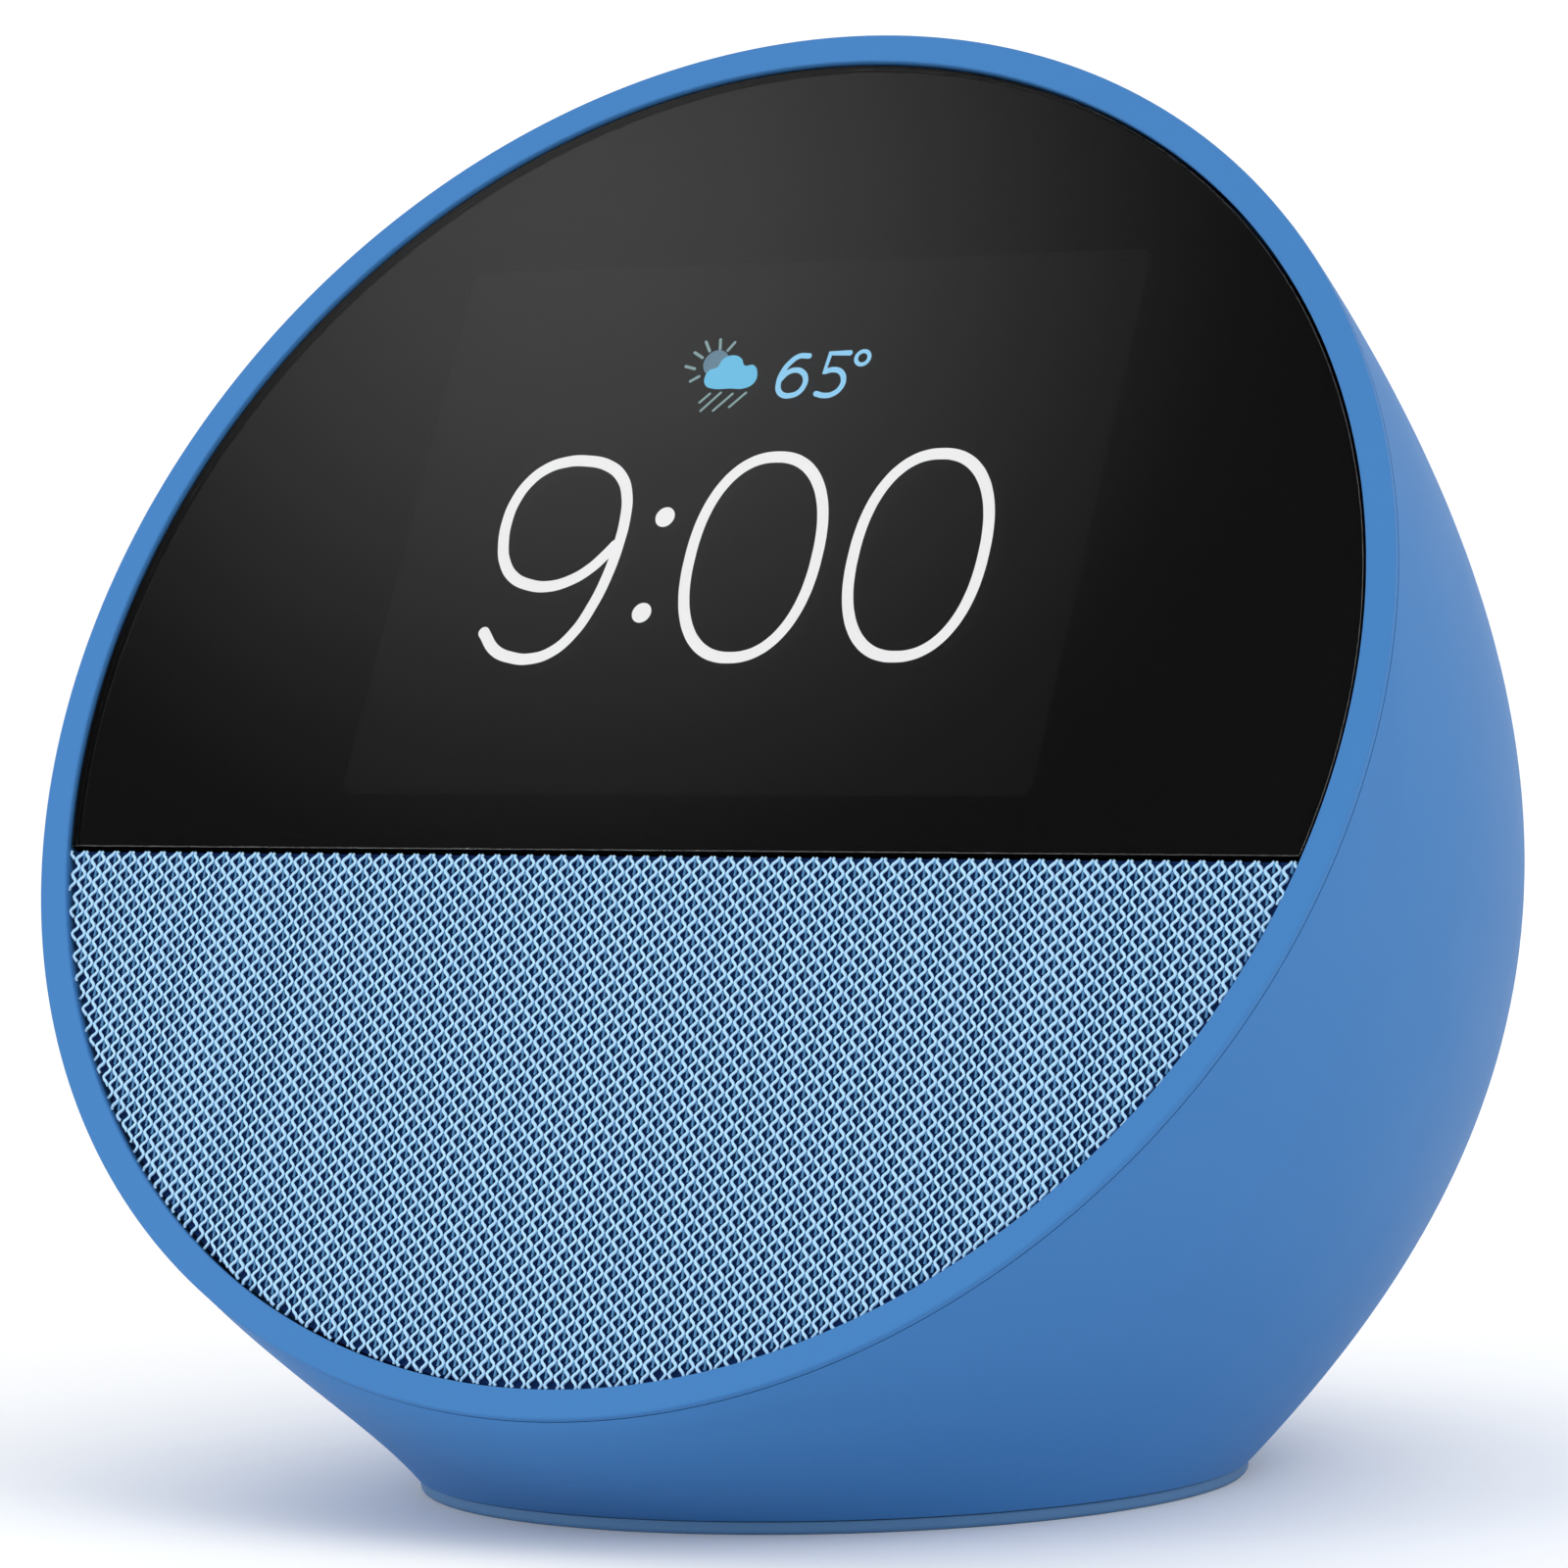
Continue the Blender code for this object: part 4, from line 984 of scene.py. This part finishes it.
GLASS_BACK = 1.3
GLASS_BEVEL = 0.05
glass = face_slab("screen_glass", INSERT_RADIUS, FRONT_RECESS, GLASS_BACK, GLASS_EDGE_Y, True)
edit(glass, at_depth(FRONT_RECESS, GLASS_BACK), "EDGE")
bpy.ops.mesh.bevel(offset=GLASS_BEVEL * MM, segments=3, affect="EDGES")
settle(glass, FACE)
smooth(glass, 40.0)

CLEAR_GLASS, tree, shader, place = open_material(
    "polished_float_glass", Transmission_Weight=1.0, IOR=1.52
)
shader.inputs["Base Color"].default_value = linear("#FFFFFF")
smears = noise(tree, place, 1 / 30, 3.0)
vary(tree, shader.inputs["Roughness"], smears, 0.01, 0.04)
dress(glass, CLEAR_GLASS, replaces=["cover_glass"])

# %% Printed border
WINDOW_CENTRE = Vector((0.0, 15.2))
WINDOW_SIZE = Vector((59.4, 44.6))
WINDOW_ROUNDING = 1.0
INK_FRONT = 1.32
INK_BACK = 1.37
INK_TOP = 0.37
EDGE_GAP = -0.03  # the paint wets the edge, so it reaches a hair into it
EDGE_PAINT = 0.07

ink = face_slab(
    "printed_border", INSERT_RADIUS + EDGE_PAINT, INK_TOP, INK_BACK, GLASS_EDGE_Y - EDGE_PAINT, True
)
well = face_slab(
    "well", INSERT_RADIUS + EDGE_GAP, INK_TOP - 1, INK_FRONT, GLASS_EDGE_Y - EDGE_GAP, True
)
carve(ink, well)
deselect()
bpy.ops.mesh.primitive_cube_add(location=(*(WINDOW_CENTRE * MM), -1.3 * MM))
window = bpy.context.object
window.scale = (WINDOW_SIZE.x / 2 * MM, WINDOW_SIZE.y / 2 * MM, 1.0 * MM)
settle(window)
edit(window, lambda middle, along: abs(along.z) > 0.9, "EDGE")
bpy.ops.mesh.bevel(offset=WINDOW_ROUNDING * MM, segments=8, affect="EDGES")
bpy.ops.object.mode_set(mode="OBJECT")
carve(ink, window)
settle(ink, FACE)
smooth(ink)
INK = moulded(
    "screen_printed_black_ink", "#060607", "#08080A", 0.8, 0.3, 0.0002, Specular_IOR_Level=0.0
)  # the ink wets the glass, so it has no gloss of its own
dress(ink, INK)

# %% Screen
SCREEN_CENTRE = (0.0, 14.7, -2.2)
SCREEN_HALF_SIZE = (33.0, 23.5, 0.6)
SCREEN_FRAME = 1.4
SCREEN_STEP = 0.03

low_lcd, high_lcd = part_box("lcd_cell")
print("its CAD box in mm:", [round(x / MM, 1) for x in (*low_lcd, *high_lcd)])
deselect()
bpy.ops.mesh.primitive_cube_add(location=[value * MM for value in SCREEN_CENTRE])
screen = bpy.context.object
screen.name = screen.data.name = "screen_panel"
screen.scale = [value * MM for value in SCREEN_HALF_SIZE]
settle(screen)
edit(screen, lambda middle, normal: normal.z > 0.9)
bpy.ops.mesh.inset(thickness=SCREEN_FRAME * MM)
bpy.ops.mesh.extrude_region_move(TRANSFORM_OT_translate={"value": (0, 0, -SCREEN_STEP * MM)})
bpy.ops.object.mode_set(mode="OBJECT")
edit(screen, lambda middle, along: abs(middle.z) > 1.65 * MM, "EDGE")
bpy.ops.mesh.bevel(offset=0.1 * MM, segments=2, affect="EDGES")
settle(screen, FACE)
smooth(screen)

UNLIT, tree, shader, place = open_material(
    "unlit_screen_polariser", IOR=1.49, Specular_IOR_Level=0.0
)
haze = noise(tree, place, 1 / 25, 2.0)
two_tone(tree, shader, haze, "#0E0E10", "#121214")
vary(tree, shader.inputs["Roughness"], haze, 0.3, 0.4)
shader.inputs["Emission Color"].default_value = linear("#8A8C90")
shader.inputs["Emission Strength"].default_value = 0.006
dress(screen, UNLIT, replaces=["lcd_cell"])

# %% [markdown]
# ## What the screen shows
#
# A plain clock face: nine o'clock in thin white figures, and above it a small weather sign
# and a temperature. Every figure is a flat stroke a few hundredths of a millimetre thick,
# lying on the screen behind the glass and giving its own light.


# %% Lit colours
def lit(name, code, strength):
    """Light from the screen in one colour, with the faint unevenness of its back light."""
    material, tree, shader, place = open_material(name, Roughness=0.8)
    shader.inputs["Base Color"].default_value = linear("#050505")
    cloud = noise(tree, place, 1 / 12, 1.0)
    colour = add(
        tree,
        "ShaderNodeMix",
        {0: cloud, 6: linear(code), 7: [x * 0.94 for x in linear(code)]},
        data_type="RGBA",
    )
    tree.links.new(colour.outputs[2], shader.inputs["Emission Color"])
    shader.inputs["Emission Strength"].default_value = strength
    return material


LIT_WHITE = lit("lit_white_figures", "#EFEFF0", 1.08)
LIT_BLUE = lit("lit_sky_blue_figures", "#8CCDF2", 1.05)
LIT_CLOUD = lit("lit_cloud_blue", "#68C2EA", 1.0)
LIT_GREY = lit("lit_grey_blue_sun", "#5F8296", 1.0)
LIT_RAIN = lit("lit_grey_green_rain", "#86A3A5", 1.0)
SCREEN_FRONT = 1.60
FIGURE_GAP = 0.005


def show(name, marks, material, layer=0):
    """Lays joined marks on the screen; a higher layer lies in front."""
    piece = joined(name, marks)
    depth = SCREEN_FRONT - FIGURE_GAP - (layer + 1) * 1.5 * FIGURE_THICKNESS
    settle(piece, FACE @ Matrix.Translation((0, 0, -depth * MM)))
    smooth(piece)
    return dress(piece, material)


# %% Clock figures
FIGURE_LINE = 0.94
ZERO_HALF_WIDTH = 5.5
ZERO_HALF_HEIGHT = 8.33
ZERO_SQUARENESS = 2.25
NINE = [
    (-20.58, 6.43), (-19.19, 4.93), (-17.52, 4.31), (-15.96, 4.2), (-14.19, 4.76),
    (-12.63, 6.31), (-11.52, 8.65), (-10.85, 11.15), (-10.52, 13.93), (-10.52, 15.87),
    (-10.85, 17.81), (-11.69, 19.37), (-13.19, 20.43), (-15.3, 20.87), (-16.96, 20.81),
    (-18.63, 20.26), (-19.91, 19.15), (-20.74, 17.54), (-21.02, 15.87), (-20.85, 13.93),
    (-20.3, 12.37), (-19.19, 11.09), (-17.63, 10.43), (-15.96, 10.26), (-14.19, 10.7),
    (-12.63, 11.65), (-11.41, 12.93), (-10.85, 13.65),
]
zeros = []
for x in (1.54, 15.65):
    oval = ring_points(x, 12.54, ZERO_HALF_WIDTH, ZERO_HALF_HEIGHT, ZERO_SQUARENESS, 32)
    zeros.append(stroke(oval, FIGURE_LINE, True))
dots = [filled(ring_points(-7.02, y, 0.82, 0.82)) for y in (15.98, 7.98)]
show("clock_figures", [stroke(NINE, FIGURE_LINE), *zeros, *dots], LIT_WHITE)

# %% Weather sign and temperature
CLOUD = [
    (-5.69, 26.81), (-6.3, 27.09), (-6.52, 27.76), (-6.24, 28.37), (-5.63, 28.59), (-5.3, 29.26),
    (-4.52, 29.59), (-3.69, 29.31), (-3.24, 28.7), (-2.46, 28.7), (-1.96, 27.98), (-2.02, 27.26),
    (-2.58, 26.81), (-4.13, 26.76),
]
RAYS = [
    [(-8.46, 28.76), (-7.63, 28.54)],
    [(-7.96, 29.93), (-7.19, 29.48)],
    [(-7.19, 30.81), (-6.69, 30.04)],
    [(-5.96, 30.98), (-5.8, 30.2)],
    [(-4.63, 30.7), (-5.08, 30.04)],
    [(-7.74, 27.48), (-7.08, 27.87)],
]
RAIN = [
    [(-5.74, 26.37), (-6.46, 25.65)],
    [(-4.8, 26.43), (-6.19, 24.93)],
    [(-3.74, 26.31), (-5.08, 24.93)],
    [(-2.58, 26.37), (-3.74, 25.2)],
]
SIX = [
    (2.2, 29.37), (1.37, 29.37), (0.65, 28.81), (0.2, 27.98), (0.09, 27.15), (0.26, 26.48),
    (0.76, 26.09), (1.31, 26.04), (1.98, 26.26), (2.37, 26.87), (2.37, 27.43), (1.98, 27.98),
    (1.31, 28.2), (0.65, 27.98), (0.2, 27.48),
]
FIVE = [
    (5.7, 29.54), (4.04, 29.54), (3.87, 27.98), (4.59, 28.15), (5.31, 27.93), (5.7, 27.26),
    (5.59, 26.59), (5.04, 26.09), (4.26, 25.98), (3.59, 26.15),
]
RAY_LINE = 0.24
RAIN_LINE = 0.2
TEMPERATURE_LINE = 0.46
DEGREE_LINE = 0.34
show("weather_sun", [filled(ring_points(-5.85, 28.98, 1.1, 1.1))], LIT_GREY)
show("weather_rays", [stroke(points, RAY_LINE) for points in RAYS], LIT_RAIN)
show("weather_rain", [stroke(points, RAIN_LINE) for points in RAIN], LIT_RAIN)
show("weather_cloud", [filled(CLOUD)], LIT_CLOUD, layer=1)
degree = stroke(ring_points(6.92, 29.09, 0.56, 0.56, count=16), DEGREE_LINE, True)
six = stroke(SIX, TEMPERATURE_LINE)
five = stroke(FIVE, TEMPERATURE_LINE, corners=(0, 1, 2))
show("temperature", [six, five, degree], LIT_BLUE)

# %% [markdown]
# ## Speaker cloth
#
# The lower part of the face is a knitted polyester mesh stretched over a slotted plate.
# Its front is a net of pale blue threads: each runs up the cloth in a gentle wave and
# touches its neighbours in turn, which leaves rows of diamond holes 1.44 mm apart across
# and 1.23 mm apart up the cloth. In each hole hangs a short loop of the darker back
# threads, and behind it all is the dark ground that is wrapped round the plate. The
# threads are real geometry, since the eye sees their shadows; each is a thin tube with
# only a few faces, because there are thousands of waves.

# %% Ground cloth
THREAD_PITCH = 0.7184
LOOP_HEIGHT = 1.2346
THREAD_RADIUS = 0.134
THREAD_SWING = 0.236
THREAD_DEPTH = 0.46
GROUND_DEPTH = 0.78
GROUND_THICKNESS = 0.1
CLOTH_BACK = 3.1

ground = face_slab("cloth_ground", INSERT_RADIUS, GROUND_DEPTH, CLOTH_BACK, CLOTH_EDGE_Y, False)
edit(ground, lambda middle, normal: normal.z < -0.9)
bpy.ops.mesh.delete(type="FACE")
bpy.ops.object.mode_set(mode="OBJECT")
modify(ground, "SOLIDIFY", thickness=GROUND_THICKNESS * MM, offset=-1.0, use_even_offset=True)
settle(ground, FACE)
smooth(ground)


def knitted(name, low, high, roughness, sheen, **sockets):
    """Polyester filament yarn: soft sheen, and fibres 0.05 mm apart in relief."""
    material, tree, shader, place = open_material(
        name, IOR=1.54, Sheen_Weight=sheen, Sheen_Roughness=0.4, **sockets
    )
    two_tone(tree, shader, noise(tree, place, 1.4, 3.0), low, high)
    fibres = noise(tree, place, 20.0, 1.0)
    vary(tree, shader.inputs["Roughness"], fibres, roughness - 0.05, roughness + 0.05)
    relief(tree, shader, fibres, 0.02)
    return material


PALE_YARN = knitted("pale_blue_polyester_yarn", "#9ECEF2", "#B4DEFA", 0.6, 0.25)
BACK_YARN = knitted("mid_blue_polyester_yarn", "#3E7EB0", "#4A8CBE", 0.7, 0.15)
DARK_GROUND = knitted(
    "navy_ground_cloth", "#06224E", "#0A2A5C", 0.85, 0.0, Specular_IOR_Level=0.1
)
dress(ground, DARK_GROUND, replaces=["grille_fabric"])


# %% Threads and loops
def yarn_curve(name, runs, radius):
    """One tube of four faces round for every run of points in mm, as a mesh."""
    curve = bpy.data.curves.new(name, "CURVE")
    curve.dimensions = "3D"
    curve.bevel_depth = radius * MM
    curve.bevel_resolution = 0
    curve.use_fill_caps = True
    for run in runs:
        spline = curve.splines.new("POLY")
        spline.points.add(len(run) - 1)
        for point, place in zip(spline.points, run):
            point.co = (*[value * MM for value in place], 1.0)
    yarn = bpy.data.objects.new(name, curve)
    bpy.context.collection.objects.link(yarn)
    take(yarn)
    bpy.ops.object.convert(target="MESH")
    yarn = bpy.context.object
    yarn.data.name = name
    settle(yarn, FACE)
    smooth(yarn, 100.0)
    return yarn


def wave(index, y):
    """How far a thread swings sideways at a height; its neighbours swing the other way."""
    side = 1 if index % 2 == 0 else -1
    return side * THREAD_SWING * math.cos(2 * math.pi * y / LOOP_HEIGHT)


EDGE = INSERT_RADIUS + 0.1
TOP = CLOTH_EDGE_Y - 0.05
STEP = LOOP_HEIGHT / 6
SHORTEST_THREAD = 0.6
END_REACH = 0.5
END_DIP = 0.15
LOOP_RADIUS = 0.13
LOOP_GAP = 0.25  # between the loops and the rim
LOOP_SHAPE = ((0.5, -0.56), (0.15, -0.64), (-0.14, -0.64))  # up from the hole's middle, depth

threads = []
loops = []
count = int(EDGE / THREAD_PITCH)
for index in range(-count, count + 1):
    x = index * THREAD_PITCH
    reach_squared = EDGE**2 - x * x
    if reach_squared <= (TOP - SHORTEST_THREAD) ** 2:
        continue
    bottom = -math.sqrt(reach_squared)
    heights = [bottom]
    k = math.ceil((bottom + 0.3 * STEP) / STEP)
    while k * STEP < TOP - 0.3 * STEP:
        heights.append(k * STEP)
        k += 1
    heights.append(TOP)
    run = []
    for y in heights:
        near = max(0.0, 1.0 - min(y - bottom, TOP - y) / END_REACH)
        run.append((x + wave(index, y), y, -THREAD_DEPTH - END_DIP * near**2))
    threads.append(run)
    middle = x + THREAD_PITCH / 2
    row = 0.5 if index % 2 == 0 else 0.0
    k = math.ceil(bottom / LOOP_HEIGHT)
    while (k + row) * LOOP_HEIGHT < TOP - 0.3:
        y = (k + row) * LOOP_HEIGHT
        if math.hypot(middle, y) < EDGE - LOOP_GAP:
            loops.append([(middle, min(y + rise, TOP), depth) for rise, depth in LOOP_SHAPE])
        k += 1
front_net = dress(yarn_curve("cloth_front_net", threads, THREAD_RADIUS), PALE_YARN)
back_loops = dress(yarn_curve("cloth_back_loops", loops, LOOP_RADIUS), BACK_YARN)
print(len(threads), "threads and", len(loops), "loops")

# %% [markdown]
# The cloth was cut as a half-moon with 2.3 mm to spare all round, which is turned back
# over the edge of the plate and glued there.

# %% [markdown]
# ## Loudspeaker spider
#
# Behind the speaker's paper cone a ring of stiffened cotton, pressed into concentric
# waves, keeps the coil centred. It is turned from a wavy outline only 0.1 mm thick, and
# lies low enough that the cone's neck clears it at the back of its stroke.

# %% Turn the spider
SPEAKER_CENTRE = Vector((0.0, -31.5, 0.0))
SPEAKER = FACE @ Matrix.Translation(SPEAKER_CENTRE * MM)
SPIDER_INNER = 7.35
SPIDER_STEP = 0.14
SPIDER_STEPS = 40
SPIDER_DEPTH = 14.32
SPIDER_WAVE = 1.4
SPIDER_SWELL = 0.07
SPIDER_THICKNESS = 0.1

crest = []
for i in range(SPIDER_STEPS + 1):
    radius = SPIDER_INNER + i * SPIDER_STEP
    swell = math.sin(2 * math.pi * (radius - SPIDER_INNER) / SPIDER_WAVE)
    crest.append((radius, -SPIDER_DEPTH + SPIDER_SWELL * swell))
under = [(radius, height - SPIDER_THICKNESS) for radius, height in reversed(crest)]
spider = turned("corrugated_spider", crest + under, sides=96, close=True)
settle(spider, SPEAKER)
smooth(spider, 60.0)
dress(spider, SPIDER, replaces=["speaker_spider"])

# %% [markdown]
# ## Inside pieces
#
# Every other piece keeps its CAD shape. Its finish is chosen by what it is made of.

# %% Finish the inside pieces
FINISHES = {
    "black_plastic": BLACK_ABS,
    "white_plastic": NYLON,
    "black_rubber": BLACK_RUBBER,
    "sheet_steel": STEEL,
    "zinc_steel": ZINC,
    "aluminium": ALUMINIUM,
    "copper": COPPER,
    "ferrite": FERRITE,
    "paper_cone": PAPER,
    "cloth_spider": SPIDER,
    "circuit_board": BOARD,
    "polyimide": POLYIMIDE,
}
finished = 0
for node in frame["nodes"].values():
    if node.hide_render:
        continue
    made_of = node.material_slots[0].material.name.split(".")[0]
    node.material_slots[0].material = FINISHES[made_of]
    finished += 1
print("inside pieces finished:", finished)
